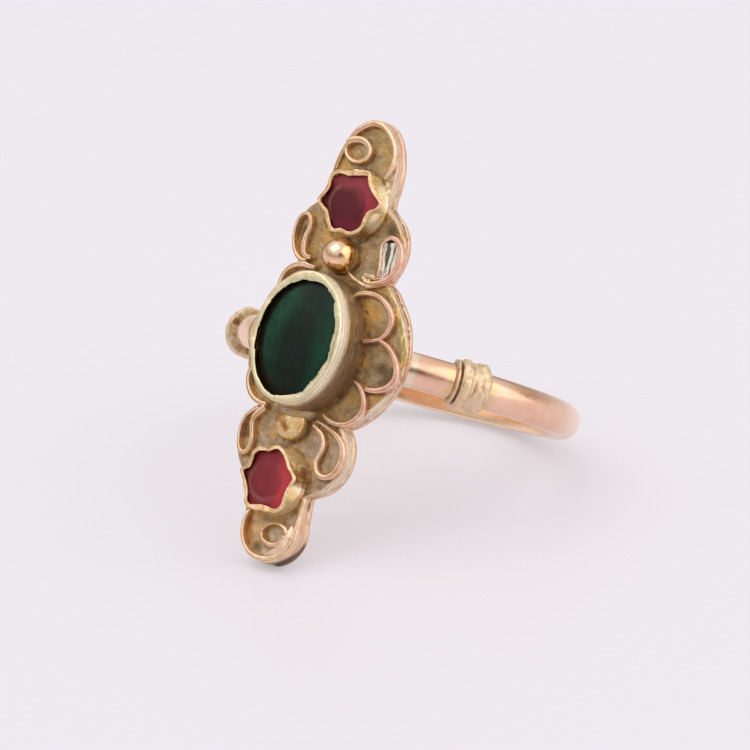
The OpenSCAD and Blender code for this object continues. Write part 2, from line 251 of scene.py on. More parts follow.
class Shader:
    """A material's nodes, with short calls for the few kinds used here."""

    def __init__(self, name):
        self.material = bpy.data.materials.new(name)
        self.material.use_nodes = True
        self.tree = self.material.node_tree
        self.colour = self.rough = self.normal = None
        where = self.node("Attribute")
        where.attribute_name = "plan"
        self.plan = where.outputs["Vector"]

    def put(self, socket, value):
        """Join a socket to another one, or give it a colour code or a plain value."""
        if isinstance(value, bpy.types.NodeSocket):
            self.tree.links.new(value, socket)
        else:
            socket.default_value = rgb(value) if isinstance(value, str) else value

    def node(self, kind, *values, **named):
        """A new node with its first sockets and its named ones filled."""
        node = self.tree.nodes.new("ShaderNode" + kind)
        for k, value in enumerate(values):
            self.put(node.inputs[k], value)
        for key, value in named.items():
            self.put(node.inputs[key.replace("_", " ")], value)
        return node

    def stretch(self, x=1.0, y=1.0, h=1.0, shift=0.0):
        """The plan coordinates, scaled and moved, for a noise that runs another way."""
        return self.node("Mapping", Vector=self.plan, Scale=(x, y, h),
                         Location=(shift, shift * 1.7, shift * 0.6)).outputs["Vector"]

    def noise(self, scale, detail=4.0, rough=0.55, vector=None):
        return self.node("TexNoise", Vector=vector or self.plan, Scale=scale, Detail=detail,
                         Roughness=rough).outputs["Fac"]

    def cells(self, scale, vector=None):
        return self.node("TexVoronoi", Vector=vector or self.plan, Scale=scale).outputs["Distance"]

    def ramp(self, value, a, b, low=0.0, high=1.0):
        """Low to high as the value goes from a to b. A tuple stands for the noise it describes."""
        if isinstance(value, tuple):
            value = self.noise(*value)
        node = self.node("MapRange", Value=value, From_Min=a, From_Max=b, To_Min=low, To_Max=high)
        node.interpolation_type = "SMOOTHSTEP"
        return node.outputs["Result"]

    def mix(self, share, a, b):
        node = self.node("Mix")
        node.data_type = "RGBA"
        for key, value in (("Factor", share), (6, a), (7, b)):
            self.put(node.inputs[key], value)
        return node.outputs[2]

    def tones(self, value, a, b, first, second):
        """The first colour up to a, the second from b."""
        return self.mix(self.ramp(value, a, b), first, second)

    def over(self, share, colour):
        """Cover the colour so far with another one by a share."""
        self.colour = self.mix(share, self.colour, colour)

    def math(self, operation, a, b=0.0):
        node = self.node("Math", a, b)
        node.operation = operation
        return node.outputs[0]

    def times(self, a, b):
        return self.math("MULTIPLY", a, b)

    def plus(self, a, b):
        return self.math("ADD", a, b)

    def minus(self, a, b):
        return self.math("SUBTRACT", a, b)

    def mark(self, name):
        """A value that the mesh carries at each point."""
        node = self.node("Attribute")
        node.attribute_name = name
        return node.outputs["Fac"]

    def part(self, k):
        """A plan coordinate: 0 across, 1 along, 2 height."""
        return self.node("SeparateXYZ", self.plan).outputs[k]

    def bump(self, height, distance):
        """Roughen the surface by a height, with distance in mm."""
        node = self.node("Bump", Strength=1.0, Distance=distance * MM, Height=height)
        if self.normal:
            self.put(node.inputs["Normal"], self.normal)
        self.normal = node.outputs["Normal"]

    def finish(self, metallic=1.0, **more):
        if self.normal:
            more["Normal"] = self.normal
        for key, value in dict(Base_Color=self.colour, Roughness=self.rough, Metallic=metallic,
                               **more).items():
            self.put(self.tree.nodes["Principled BSDF"].inputs[key.replace("_", " ")], value)
        return self.material


def gold(name, main, other, shade, rough=(0.14, 0.32), patch=1.3, dents=0.012, scratch=0.004,
         spots=0.0, stain=None):
    """Worn gold: two tones in patches, stains, darker hollows and spots, fine scratches."""
    s = Shader(name)
    s.colour = s.tones((patch, 5.0), 0.38, 0.64, main, other)
    if stain:
        s.over(s.ramp((patch * 0.8, 4.0, 0.6, s.stretch(shift=6.0)), 0.5, 0.7), stain)
    hollow = s.ramp(s.node("NewGeometry").outputs["Pointiness"], 0.485, 0.44)
    s.over(s.times(hollow, s.ramp((5.0, 3.0), 0.3, 0.6, 0.25, 1.0)), shade)
    if spots:
        s.over(s.times(s.ramp(s.cells(3.2), 0.14, 0.05),
                       s.ramp((1.6, 2.0), 0.45, 0.6, 0.0, spots)), shade)
    s.rough = s.ramp((3.1, 6.0, 0.65), 0.3, 0.72, *rough)
    s.bump(s.noise(2.6, 2.0), dents)
    s.bump(s.noise(26.0, 3.0, vector=s.stretch(1, 0.35, 1)), scratch)
    return s


def hoop_gold(*colours, **more):
    """Rose gold with painted dark reflections where marked, stains, a pale patch, painted light away
    from the head and on one side, and painted golden orange reflection inside.
    """
    s = gold(*colours, **more)
    # Painted dark reflections along the marked streaks.
    s.over(s.times(s.mark("painted_dark_streak"), 0.3), "a0705a")
    s.over(s.times(s.mark("patch"), s.ramp((2.4, 4.0), 0.3, 0.5)), "ecdcc4")
    s.over(s.times(s.mark("stain"), s.ramp((2.2, 4.0), 0.36, 0.6, 0.1, 0.8)), "d6bc84")
    # Painted light on the part of the hoop away from the head, and on one side.
    s.over(s.ramp(s.part(2), -9.0, -14.0, 0.0, 0.85), "ffe4d0")
    s.over(s.ramp(s.part(0), -4.0, -5.5, 0.0, 0.7), "ffe2c0")
    # Painted reflection inside the hoop, golden orange near the head.
    s.over(s.times(s.mark("inside"), 0.85), s.mix(s.mark("near_head"), "fddcb8", "f4b068"))
    return s.finish()


def plate_gold(*colours, **more):
    """Rose gold, with painted contact shadow round the lower right end."""
    s = gold(*colours, **more)
    # Painted contact shadow round the lower right end.
    low = s.minus(s.times(s.part(0), 0.5), s.part(1))
    crust_and_shadow = s.times(s.ramp(low, 12.0, 12.5), s.ramp(s.part(0), -0.4, 0.4))
    s.over(s.times(crust_and_shadow, 0.85), "5c4a34")
    return s.finish()


def wire_gold(*colours, **more):
    """Golden cream wire, rosier on the plaque's right side."""
    s = gold(*colours, **more)
    right = s.times(s.ramp(s.part(0), 2.2, 3.3, 0.1, 0.95),
                    s.ramp(s.part(1), -4.8, -2.8, 0.35, 1.0))
    s.over(right, s.tones((1.8, 3.0), 0.4, 0.6, "ecc6b2", "e0b09a"))
    return s.finish(0.85)


def star_gold(*colours, **more):
    """Yellow gold with a rosy lip, and a brown crust where marked."""
    s = gold(*colours, **more)
    crust = s.tones((3.0, 4.0), 0.4, 0.6, "b07a3c", "8a6236")
    s.over(s.times(s.mark("crust_and_shadow"), s.ramp((1.8, 3.0), 0.3, 0.5)), crust)
    s.over(s.times(s.mark("lip"), 0.85), s.tones((2.0, 3.0), 0.4, 0.6, "f4cfa6", "e2b680"))
    return s.finish(0.54)


def reflection_streaked_gold(name):
    """Painted reflections: bright and grey streaks along the plaque, in a polished hollow."""
    s = Shader(name)
    streaks = s.noise(1.5, 3.0, 0.55, s.stretch(2.6, 0.4, 1.0))
    s.colour = s.tones(streaks, 0.44, 0.58, "fdf8ec", "6e604a")
    s.rough = s.ramp((3.0, 3.0), 0.3, 0.7, 0.1, 0.22)
    s.bump(streaks, 0.04)
    return s.finish()


def bead_gold(*colours, **more):
    """A bright bead, rosy on top, with a painted golden reflection of the face low down and at the
    right.
    """
    s = gold(*colours, **more)
    low = s.minus(s.part(2), s.times(s.part(0), 0.6))
    # Painted golden reflection of the face, low down and at the right.
    s.over(s.ramp(s.plus(low, s.noise(1.2)), 1.5, 0.9), "edc384")
    return s.finish()


def hollow_gold(*colours, dark, **more):
    """Worn gold with a darker tone in its marked hollows, which on the collars is painted shade in their
    grooves and creases.
    """
    s = gold(*colours, **more)
    # The darker tone in the marked hollows is painted shade on the collars.
    s.over(s.times(s.mark("hollow"), s.ramp((2.2, 4.0), 0.3, 0.6, 0.25, 0.8)), dark)
    return s


def oval_gold(*colours, **more):
    """Pale gold, with painted light making it paler below the collet's rim, where it is also less like a
    mirror.
    """
    s = hollow_gold(*colours, **more)
    # Painted light on the wall below the rim.
    s.over(s.ramp(s.part(2), 2.4, 2.3), "fbf0d6")
    return s.finish(s.ramp(s.part(2), 2.3, 2.4, 0.36, 0.85))


def tarnish(name, main, other, stain, grey, stretch=(1, 1, 1), pits=0.5, dark=0.45):
    """Tarnished gold: mottled olive and khaki, golden stains, grey patches and dark pits."""
    s = Shader(name)
    first, second, third = (s.stretch(*stretch, shift=k) for k in (0.0, 4.0, 9.0))
    s.colour = s.tones((1.5, 6.0, 0.62, first), 0.36, 0.66, main, other)
    s.over(s.ramp((1.1, 4.0, 0.6, second), 0.52, 0.72), grey)
    s.over(s.ramp((0.8, 3.0, 0.5, third), 0.52, 0.7), stain)
    fine = s.noise(11.0, 5.0, 0.7, first)
    s.over(s.ramp(fine, 0.42, 0.7, 0.0, dark), "4e3d20")
    s.over(s.times(s.ramp(s.cells(4.5, first), 0.18, 0.07),
                   s.ramp((2.0, 2.0, 0.5, second), 0.5, 0.62, 0.0, pits)), "2d2110")
    s.rough = s.ramp((4.0, 5.0), 0.3, 0.7, 0.3, 0.52)
    s.bump(s.noise(3.5, 4.0, 0.6, first), 0.03)
    s.bump(fine, 0.012)
    return s


def side_metal(name):
    """The plaque's side: tarnished strokes, creamy or polished rose where marked, painted shade low down
    and painted contact shadow at the lower right end.
    """
    s = tarnish(name, "f2d6ba", "e0c29c", "d0ab78", "bca890", (1.6, 1.6, 0.3), 0.7, 0.3)
    # Painted shade along the bottom of the side, where it meets the back plate.
    low = s.ramp(s.part(2), -0.38, -0.52)
    s.over(s.times(low, s.ramp((4.0, 3.0), 0.35, 0.6, 0.0, 0.8)), "6b4f2e")
    bands = s.noise(3.0, 3.0, vector=s.stretch(1.0, 0.35, 4.0, 5.0))
    s.over(s.times(s.mark("creamy"), 0.85), s.tones(bands, 0.38, 0.6, "f6ecdc", "d4c3a4"))
    s.over(s.times(s.mark("rosy"), 0.95), s.tones(bands, 0.35, 0.62, "f0d2ba", "dcb294"))
    # Painted contact shadow low down at the lower right end.
    foot = s.minus(s.times(s.part(1), -1.0), s.times(s.part(2), 1.5))
    crust_and_shadow = s.times(s.ramp(foot, 12.1, 12.7), s.ramp(s.part(0), 0.3, 1.2))
    s.over(s.times(crust_and_shadow, 0.85), "4a3d2c")
    return s.finish(0.9)


def face_metal(name):
    """The plaque's face: mottled olive, taupe low down, painted shadow in hollows, painted shade and
    reflected golden brown light against the wirework, painted amber reflections, and a pale streaked
    strip along its right edge."""
    s = tarnish(name, "bfa480", "957c58", "c49c5c", "b0a084", dark=0.5)
    low = s.ramp(s.plus(s.part(1), s.noise(0.7)), -3.0, -5.5, 0.0, 0.75)
    s.over(low, s.tones((2.4, 5.0, 0.6), 0.35, 0.65, "c2aa92", "9a8268"))
    end = s.times(s.ramp(s.part(1), -9.2, -9.9), s.ramp((2.6, 5.0, 0.65), 0.36, 0.62, 0.1, 0.9))
    s.over(end, s.tones(s.part(0), -0.2, 0.4, "dcb47c", "c9b398"))
    # Painted shadow in the petals, the left scrolls and beside two wires.
    s.over(s.times(s.mark("deep"), 0.7), "4a3622")
    # Painted shade and reflected golden brown light on the face, right against the wirework.
    close = s.times(s.ramp(s.mark("near"), 0.43, 0.15), s.ramp((1.7, 3.0), 0.3, 0.6, 0.2, 0.85))
    edge = s.tones((0.9, 2.0), 0.42, 0.6, "ba8c54", "8a6e4c")
    s.over(close, s.mix(s.ramp(s.part(0), -0.6, -2.2, 0.0, 0.7), edge, "c89c60"))
    # Painted amber reflections of the gold walls.
    golden = s.times(s.mark("amber_reflection"), s.ramp((1.9, 3.0), 0.3, 0.6, 0.3, 0.9))
    s.over(golden, s.tones(s.part(1), -8.5, -9.5, "cfa05c", "a8702e"))
    crevice = s.times(s.ramp(s.mark("near"), 0.31, 0.22), s.ramp((2.6, 3.0), 0.38, 0.62, 0.05, 0.6))
    s.over(s.times(crevice, s.ramp(s.part(1), -9.0, -9.6, 1.0, 0.35)), "5a4224")
    strip = s.tones((4.0, 4.0, 0.55, s.stretch(1.0, 0.5)), 0.4, 0.56, "e4c484", "a8985e")
    strip = s.mix(s.ramp(s.cells(3.6), 0.2, 0.08, 0.0, 0.85), strip, "4a3a1c")
    strip = s.mix(s.ramp(s.part(1), -0.6, -2.2), strip, "e6d2ba")
    pale = s.tones((3.0, 4.0), 0.42, 0.6, "ecdac4", "b0a084")
    strip = s.mix(s.ramp(s.part(1), 7.4, 8.2), strip, pale)
    gap = s.plus(s.mark("border"), s.times(s.noise(2.2, 3.0), 0.3))
    s.over(s.ramp(gap, 0.26, 0.1), strip)
    return s.finish(0.86)


def green_glass(name):
    """Dark bottle green, nearly opaque: painted light glowing through it at both sides, with soft clouds
    and specks, and a painted shadow at its left margin.
    """
    s = Shader(name)
    wander = s.times(s.noise(0.45, 2.0), 1.8)
    left = s.plus(s.minus(s.part(0), s.times(s.part(1), 0.35)), wander)
    # Painted light glowing through the glass, at the upper left and at the right.
    s.colour = s.tones(left, 0.6, -1.2, "0c1b16", "15432f")
    s.over(s.ramp(s.plus(s.part(0), s.times(wander, 0.6)), 1.4, 2.9), "0f442c")
    s.over(s.ramp((1.6, 6.0, 0.7, s.stretch(1.0, 0.5, 1.0)), 0.46, 0.66, 0.0, 0.75), "0a2e20")
    s.over(s.ramp((1.2, 4.0), 0.56, 0.72, 0.0, 0.5), "1c1c18")
    s.over(s.ramp(s.cells(1.6), 0.04, 0.015, 0.0, 0.4), "7d8f86")
    # Painted shadow round the stone's left margin, under the lip.
    s.over(s.times(s.mark("margin"), s.ramp((2.0,), 0.3, 0.5, 0.6, 1.0)), "18130a")
    s.rough = s.ramp((6.0, 4.0), 0.3, 0.7, 0.3, 0.42)
    s.bump(s.noise(9.0, 3.0), 0.003)
    return s.finish(0.0, IOR=1.5, Specular_IOR_Level=0.16)


def red_glass(name, deep, bright, table, shift, upper=False):
    """Plum red, with painted shade at the left, painted light at the right and on the upper stone's top,
    a painted pale highlight on the rim at the left, and a bloom on the table.
    """
    s = Shader(name)
    across = s.plus(s.part(0), s.times(s.noise(0.8, 2.0), 0.9))
    if upper:
        rise = s.times(s.math("ABSOLUTE", s.part(1)), 0.55)
        across = s.minus(s.plus(across, rise), 4.5)
    # Painted shade at the left and painted light at the right.
    s.colour = s.tones(across, -1.1, -0.2, "571519", deep)
    s.over(s.ramp(across, 0.5 + shift, 1.6 + shift), bright)
    s.over(s.times(s.mark("table"), s.ramp((1.1, 4.0), 0.3, 0.7, 0.4, 0.9)), table)
    left = s.plus(s.part(0), s.noise(1.5))
    if upper:
        # Painted light at the top of the upper stone, and a lighter plum low down.
        above = s.plus(s.part(1), s.times(s.noise(1.1, 3.0), 0.9))
        s.over(s.ramp(above, 9.1, 9.9, 0.0, 0.75), "93383c")
        s.over(s.ramp(above, 7.9, 7.3, 0.0, 0.5), "7c2238")
        pale = s.ramp(left, -0.1, -0.6)
    else:
        pale = s.ramp(s.plus(left, s.part(1)), -7.2, -9.2)
    # A painted pale highlight arc on the rim between table and crown, at the left.
    s.over(s.times(s.times(s.mark("rim"), pale), 0.3), "b08078")
    s.rough = s.ramp((4.0, 5.0), 0.3, 0.7, 0.22, 0.38)
    s.bump(s.noise(7.0, 3.0), 0.005)
    return s.finish(0.0, IOR=1.6, Specular_IOR_Level=0.14)


def make_materials():
    return {
        "hoop": hoop_gold("polished_rose_gold", "f2c8ae", "eabb9d", "9a6546", rough=(0.16, 0.3),
                          patch=0.5, dents=0.004, scratch=0.002),
        "wire": wire_gold("rose_gold_wire", "f4d4b6", "e8c198", "74503a", rough=(0.22, 0.34),
                          patch=1.8, spots=0.15, stain="dcb480", scratch=0.001),
        "edge": plate_gold("rose_gold_plate", "efccb0", "e0b594", "7a5a3c", rough=(0.2, 0.38),
                           patch=1.2, spots=0.4),
        # The collars' marked hollows carry painted shade.
        "collar": hollow_gold("pale_gold_collars", "e6cfae", "ecc8a6", "54432c", dark="6a5432",
                              rough=(0.34, 0.5), patch=2.4, dents=0.05, spots=1.0,
                              stain="cdb07c").finish(0.78),
        "crusted": tarnish("crusted_collar_ring", "d8bc96", "a88660", "7a5632", "e6d6bc",
                           pits=1.0, dark=0.6).finish(0.86),
        "star": star_gold("yellow_gold_collets", "ffefce", "f2d190", "8a6234", rough=(0.14, 0.32),
                          patch=1.1, dents=0.04, stain="f6e6bc", scratch=0.002),
        # Painted shade inside the collets.
        "within": gold("dark_collet_inside", "8a6236", "6b4a28", "2e1a0c",
                       rough=(0.3, 0.5)).finish(),
        "bead": bead_gold("yellow_gold_beads", "f2cdb6", "e8bd96", "7a4a18", rough=(0.05, 0.14),
                          patch=0.9, dents=0.006, spots=0.7, stain="e0b070"),
        "worn_bead": tarnish("spotted_worn_bead", "ecc48a", "f8dcac", "a86624", "e2b070",
                             pits=0.9).finish(0.86),
        "oval": oval_gold("pale_gold_collet", "e4dab4", "ddcfa8", "6d6140", dark="a59a80",
                          rough=(0.22, 0.42), patch=1.0, dents=0.012, stain="e0d0ac"),
        "solder": gold("pale_solder", "e6d0b0", "d0ac80", "6f5332", rough=(0.2, 0.4), patch=1.4,
                       dents=0.03).finish(),
        "fill": gold("rose_gold_fill", "f6dac6", "ecc8ac", "7a5a3c", rough=(0.3, 0.45), patch=0.9,
                     dents=0.025, stain="e8ceb0").finish(),
        "bright": reflection_streaked_gold("bright_pale_gold"),
        "face": face_metal("tarnished_face"),
        "side": side_metal("tarnished_side"),
        "foot": tarnish("tarnished_collet_foot", "b39a7a", "c2aa88", "b99454", "9c8c72",
                        stretch=(0.5, 0.5, 2.2), pits=0.6).finish(0.86),
        "green": green_glass("green_stone_glass"),
        "upper_red": red_glass("upper_red_glass", "5e1c25", "9c3040", "561b23", 0.2, upper=True),
        "lower_red": red_glass("lower_red_glass", "802730", "b83a42", "7c2c33", -0.2),
    }


materials = make_materials()

# The plaque's outline

# Points along and across the plaque, how much its upper end is drawn out, how far round a
# scroll's lobe the neck towards the star collet starts, and a reach that counts as none
ROWS, COLS = 520, 64
TIP, NECK_TURN, NOWHERE = 0.1, 42.0, -9.0


def bump_at(y, place, size):
    """1 at a place, falling to 0 on both sides of it."""
    return np.exp(-((y - place) / size) ** 2)


def scroll_x(side, end):
    """How far the middle of a scroll's lobe lies from the middle line."""
    return SCROLL_REACH[side, end] - SCROLL_R


def side_reach(side, y, grow):
    """How far the outline lies from the middle line on one side, at each y."""
    notch_x = abs(scroll_x(side, -1)) + math.sqrt(SCROLL_R ** 2 - (SCROLL_Y - NOTCH_Y) ** 2)
    rise = SIDE_REACH[side] - notch_x
    wide_r = (NOTCH_Y ** 2 + rise ** 2) / (2 * rise)
    forms = [(side * UPPER_END[0], UPPER_END[1], UPPER_END[2], UPPER_END[3] + TIP),
             (side * LOWER_END[0], LOWER_END[1], LOWER_END[2], LOWER_END[3]),
             (SIDE_REACH[side] - wide_r, 0.0, wide_r, wide_r)]
    forms += [(scroll_x(side, end), end * SCROLL_Y, SCROLL_R, SCROLL_R) for end in (-1, 1)]
    reach = np.full(y.shape, NOWHERE)
    for x, cy, half_w, half_l in forms:
        inside = 1 - ((y - cy) / (half_l + grow)) ** 2
        there = x + (half_w + grow) * np.sqrt(np.clip(inside, 0, None))
        reach = np.maximum(reach, np.where(inside > 0, there, NOWHERE))
    turn = math.radians(NECK_TURN)
    for end_x, end_y, half_w, half_l in (UPPER_END, LOWER_END):
        end = math.copysign(1, end_y)
        line_y = [SCROLL_Y + SCROLL_R * math.sin(turn), STAR_Y + STAR_D / 10, abs(end_y)]
        line_x = [scroll_x(side, end) + SCROLL_R * math.cos(turn), STAR_D / 2 + 0.1,
                  side * end_x + half_w - WIRE_INSET]
        on_neck = (end * y > line_y[0]) & (end * y < line_y[2])
        neck = np.interp(end * y, line_y, line_x) + grow
        reach = np.maximum(reach, np.where(on_neck, neck, NOWHERE))
    if side > 0:
        return reach + 0.22 * bump_at(y, 4.2, 0.45)
    return reach - 0.18 * bump_at(y, 3.4, 0.6) + 0.18 * bump_at(y, 7.5, 0.5)


def overhang(y):
    """How far the plaque's right edge leans out at its face."""
    return (0.27 * smoothstep(-3.6, -2.0, y) * smoothstep(2.2, 0.6, y)
            + 0.25 * smoothstep(4.0, 4.8, y) * smoothstep(7.4, 6.4, y))


def plate_rows(grow):
    """Rows from the plaque's top to its bottom, as y, left x and right x."""
    top = UPPER_END[1] + UPPER_END[3] + TIP + grow
    bottom = max(LOWER_END[1] - LOWER_END[3] - grow, -WORN_Y)
    t = np.linspace(math.pi / 2, -math.pi / 2, ROWS)
    y = (top + bottom) / 2 + (top - bottom) / 2 * np.sin(t)
    right, left = side_reach(1, y, grow), -side_reach(-1, y, grow)
    right[0] = left[0] = UPPER_END[0]
    return y, left, right


def plate_grid(grow, height):
    """A grid over the plaque's outline, which is grown by a distance, at a height."""
    y, left, right = plate_rows(grow)
    share = np.linspace(0, 1, COLS)
    points = np.empty((ROWS, COLS, 3))
    points[..., 0] = left[:, None] + (right - left)[:, None] * share
    points[..., 1] = y[:, None]
    points[..., 2] = height
    points[..., 0] += (overhang(y)[:, None] * smoothstep(0.7, 1.0, share)
                       * smoothstep(-0.62, -0.1, np.float64(height)))
    return points


def rim_loop(grid):
    """The border of a plate grid as one closed loop of points."""
    return np.vstack([grid[:, -1], grid[-1, -2:0:-1], grid[:0:-1, 0]])


def rim_wall(levels, shake=None):
    """A wall round the plaque through (grow, height) levels, shaken outwards."""
    loops = np.stack([rim_loop(plate_grid(grow, h)) for grow, h in levels], axis=1)
    if shake is not None:
        along = np.roll(loops[:, 0], -3, axis=0) - np.roll(loops[:, 0], 3, axis=0)
        out = np.column_stack([-along[:, 1], along[:, 0]])
        out /= np.maximum(np.linalg.norm(out, axis=1), 1e-9)[:, None]
        loops[..., :2] += out[:, None] * shake(loops)[..., None]
    return loops, grid_faces(loops.shape[0], loops.shape[1], closed_rows=True)


def rosy(p):
    """Where the plaque's side is polished rose gold: at the ends, one lobe and its top edge."""
    x, y, h = p[..., 0], p[..., 1], p[..., 2]
    right = smoothstep(-0.5, 0.5, x)
    ends = smoothstep(9.3, 10.4, y) * right + smoothstep(-8.9, -9.6, y)
    lobe = smoothstep(4.0, 4.5, y) * smoothstep(7.2, 6.4, y) * right
    edge = 0.8 * smoothstep(-0.13, -0.03, h) * (1 - bump_at(y, 0.0, 4.2))
    return np.clip(np.maximum(np.maximum(ends, lobe), edge), 0, 1)


def near_wires(p):
    """How far each place on the plaque's face is from wires, collets and beads, up to 1 mm."""
    lines = [UPPER_RIM, UPPER_CURL, LOWER_RIM, LOWER_CURL] + list(SCROLLS.values())
    lines += list(PETALS.values())
    paths = [evenly(curve_through(line[0], 6), 0.12) for line in lines]
    star_r, bead_r, oval_w, oval_l = 2.0, 0.95, 3.1, 4.0
    rings = [(0.0, 0.0, oval_w, oval_l)]
    for end in (1, -1):
        rings += [(0.0, end * STAR_Y, star_r, star_r), (*BEADS[end], bead_r, bead_r)]
    angle = np.linspace(0, 2 * math.pi, 90)
    paths += [np.column_stack([x + half_w * np.cos(angle), y + half_l * np.sin(angle)])
              for x, y, half_w, half_l in rings]
    path = np.vstack(paths)
    close = np.full(len(p), 9.0)
    for first in range(0, len(path), 64):
        some = path[first:first + 64]
        close = np.minimum(close, np.hypot(p[:, None, 0] - some[:, 0],
                                           p[:, None, 1] - some[:, 1]).min(axis=1))
    return np.minimum(close, 1.0)


def patches(p, spots):
    """Soft round patches, each an x, y and radius."""
    shade = [np.exp(-(((p[:, 0] - x) ** 2 + (p[:, 1] - y) ** 2) / r ** 2) ** 2)
             for x, y, r in spots]
    return np.clip(np.sum(shade, axis=0), 0, 1)


def deep(p):
    """Where painted shadow darkens the face: in petals and left scrolls, and beside two wires."""
    return patches(p, ((5.35, -0.95, 0.42), (4.95, -1.35, 0.35), (5.45, -0.45, 0.3),
                       (4.7, -0.5, 0.4), (5.3, -0.8, 0.42), (-3.0, 6.1, 0.45), (-3.0, -5.7, 0.4),
                       (-3.6, -0.2, 0.6), (2.9, 7.3, 0.5), (-0.2, -11.9, 0.35)))


def amber_reflection(p):
    """Where painted amber reflections of the gold walls fall on the face."""
    return patches(p, ((2.9, 2.35, 0.75), (3.2, -0.4, 0.4), (-1.5, 10.1, 0.4), (-1.3, 6.2, 0.45),
                       (-1.25, -5.5, 0.3), (3.2, -2.6, 0.4), (-1.4, -10.2, 0.28),
                       (-1.2, -10.7, 0.32), (-1.05, -11.2, 0.32), (-0.8, -11.6, 0.28)))


def right_edge(p):
    """How far in from the strip along the plaque's right edge each place is."""
    reach = side_reach(1, p[:, 1], 0.0) + overhang(p[:, 1])
    inner = np.interp(p[:, 1], [-8.6, -7.5, -3.6, 3.4, 4.0, 7.0, 7.8, 9.2, 10.9],
                      [0.1, 0.18, 0.32, 0.35, 0.2, 0.15, 0.2, 0.7, 0.12])
    return np.clip(reach - p[:, 0] - inner, -1, 3)


def creamy(p):
    """Where the side is pale and creamy: along the lower right and round the upper end's right."""
    x, y = p[..., 0], p[..., 1]
    low = smoothstep(-1.4, -2.5, y) * smoothstep(-8.9, -7.8, y) * smoothstep(0.0, 1.0, x)
    high = smoothstep(8.2, 9.2, y) * smoothstep(11.0, 10.0, y) * smoothstep(0.0, 1.0, x)
    return np.clip(low + 0.8 * high, 0, 1)


def plaque_body():
    """The plaque's wavy face, its rough side wall and its underside."""
    levels = [(-0.07, 0.0), (-0.035, -0.006), (-0.01, -0.025), (0.0, -0.06)]
    levels += [(0.0, h) for h in np.linspace(-0.1, -0.54, 9)] + [(0.03, -0.59), (0.045, -0.62)]
    grid = plate_grid(*levels[0])
    waves = noises(grid, (1.0, 1.6, 3), (0.5, 0.8, 4), (0.25, 0.4, 5)) / 1.75
    waves = 0.035 * waves + 0.012 * value_noise(grid, 0.35, 8)
    grid[1:-1, 1:-1, 2] += waves[1:-1, 1:-1]

    def shake(points):
        fine = points * [1.0, 1.0, 0.12]
        edge = smoothstep(0.0, -0.06, points[..., 2]) * (1 - 0.75 * rosy(points))
        strokes = noises(fine, (0.02, 0.16, 21), (0.022, 0.5, 22))
        lumps = 0.035 * bump_at(points[..., 1], 0.8, 3.0) * value_noise(points, 0.45, 24)
        return edge * (strokes + 0.02 * value_noise(points, 0.22, 23) + lumps)

    wall, wall_faces = rim_wall(levels, shake)
    under = plate_grid(*levels[-1])
    faces = grid_faces(ROWS, COLS)
    make_piece("plaque_body", [(grid, faces, 0), (wall, wall_faces, 1), (under, faces, 1)],
               "face side",
               marks={"rosy": rosy, "creamy": creamy, "near": near_wires, "border": right_edge,
                      "deep": deep, "amber_reflection": amber_reflection})


def back_plate():
    """The back plate, a little larger than the body."""
    levels = [(0.0, -0.605), (0.055, -0.61), (0.078, -0.635), (0.08, -0.66), (0.08, -0.84),
              (0.072, -0.875), (0.05, -0.895), (0.02, -0.9)]
    wall, faces = rim_wall(levels)
    wall[:, 1:-1, 2] += 0.012 * value_noise(wall[:, 1:-1], 0.5, 31)
    parts = [(plate_grid(*level), grid_faces(ROWS, COLS), 0) for level in (levels[0], levels[-1])]
    make_piece("back_plate", [(wall, faces, 0)] + parts, "edge")


# Wirework: each wire as places on the plaque and its widths along them

UPPER_RIM = (
    [(1.5, 9.95), (1.68, 10.4), (1.76, 10.9), (1.73, 11.4), (1.55, 11.9), (1.2, 12.35), (0.72, 12.75),
     (0.2, 12.95), (-0.35, 12.92), (-0.85, 12.66), (-1.25, 12.28), (-1.57, 11.75), (-1.78, 11.2),
     (-1.92, 10.6), (-2.0, 10.0)],
    [0.6, 0.75, 0.8, 0.9, 1.0, 1.1, 1.05, 1.0, 0.55, 0.35, 0.3])
UPPER_CURL = (
    [(-1.66, 11.5), (-1.35, 11.78), (-0.85, 11.9), (-0.38, 11.8), (-0.03, 11.5), (0.05, 11.15),
     (-0.1, 10.85), (-0.45, 10.66), (-0.85, 10.62), (-1.22, 10.76), (-1.48, 11.0), (-1.57, 11.25),
     (-1.5, 11.48), (-1.32, 11.65)],
    [0.9, 1.2, 1.2, 1.1, 1.0, 0.9, 0.75, 0.7, 0.65, 0.6, 0.5, 0.4])
LOWER_RIM = (
    [(-1.2, -9.95), (-1.35, -10.6), (-1.3, -11.2), (-1.05, -11.75), (-0.65, -12.18), (-0.15, -12.43),
     (0.4, -12.5), (0.95, -12.42), (1.45, -12.15), (1.85, -11.75), (2.1, -11.2), (2.16, -10.6),
     (2.15, -10.0), (2.12, -9.4), (2.1, -8.9), (2.08, -8.5)],
    [0.5, 0.6, 0.65, 0.75, 1.0, 1.2, 1.2, 1.05, 0.9, 0.7, 0.45])
LOWER_CURL = (
    [(1.72, -10.85), (1.48, -10.52), (1.1, -10.37), (0.65, -10.4), (0.25, -10.6), (0.04, -10.95),
     (0.13, -11.32), (0.48, -11.56), (0.92, -11.6), (1.28, -11.42), (1.5, -11.12), (1.53, -10.85)],
    [0.7, 0.6, 0.5, 0.4, 0.45, 0.7, 0.8, 0.6, 0.4])
LOWER_FILL = (
    [(0.45, -12.25), (0.95, -12.08), (1.35, -11.85), (1.7, -11.45), (1.84, -11.0), (1.84, -10.55),
     (1.75, -10.2)],
    [0.3, 1.1, 1.9, 2.3, 2.1, 1.5, 0.5])
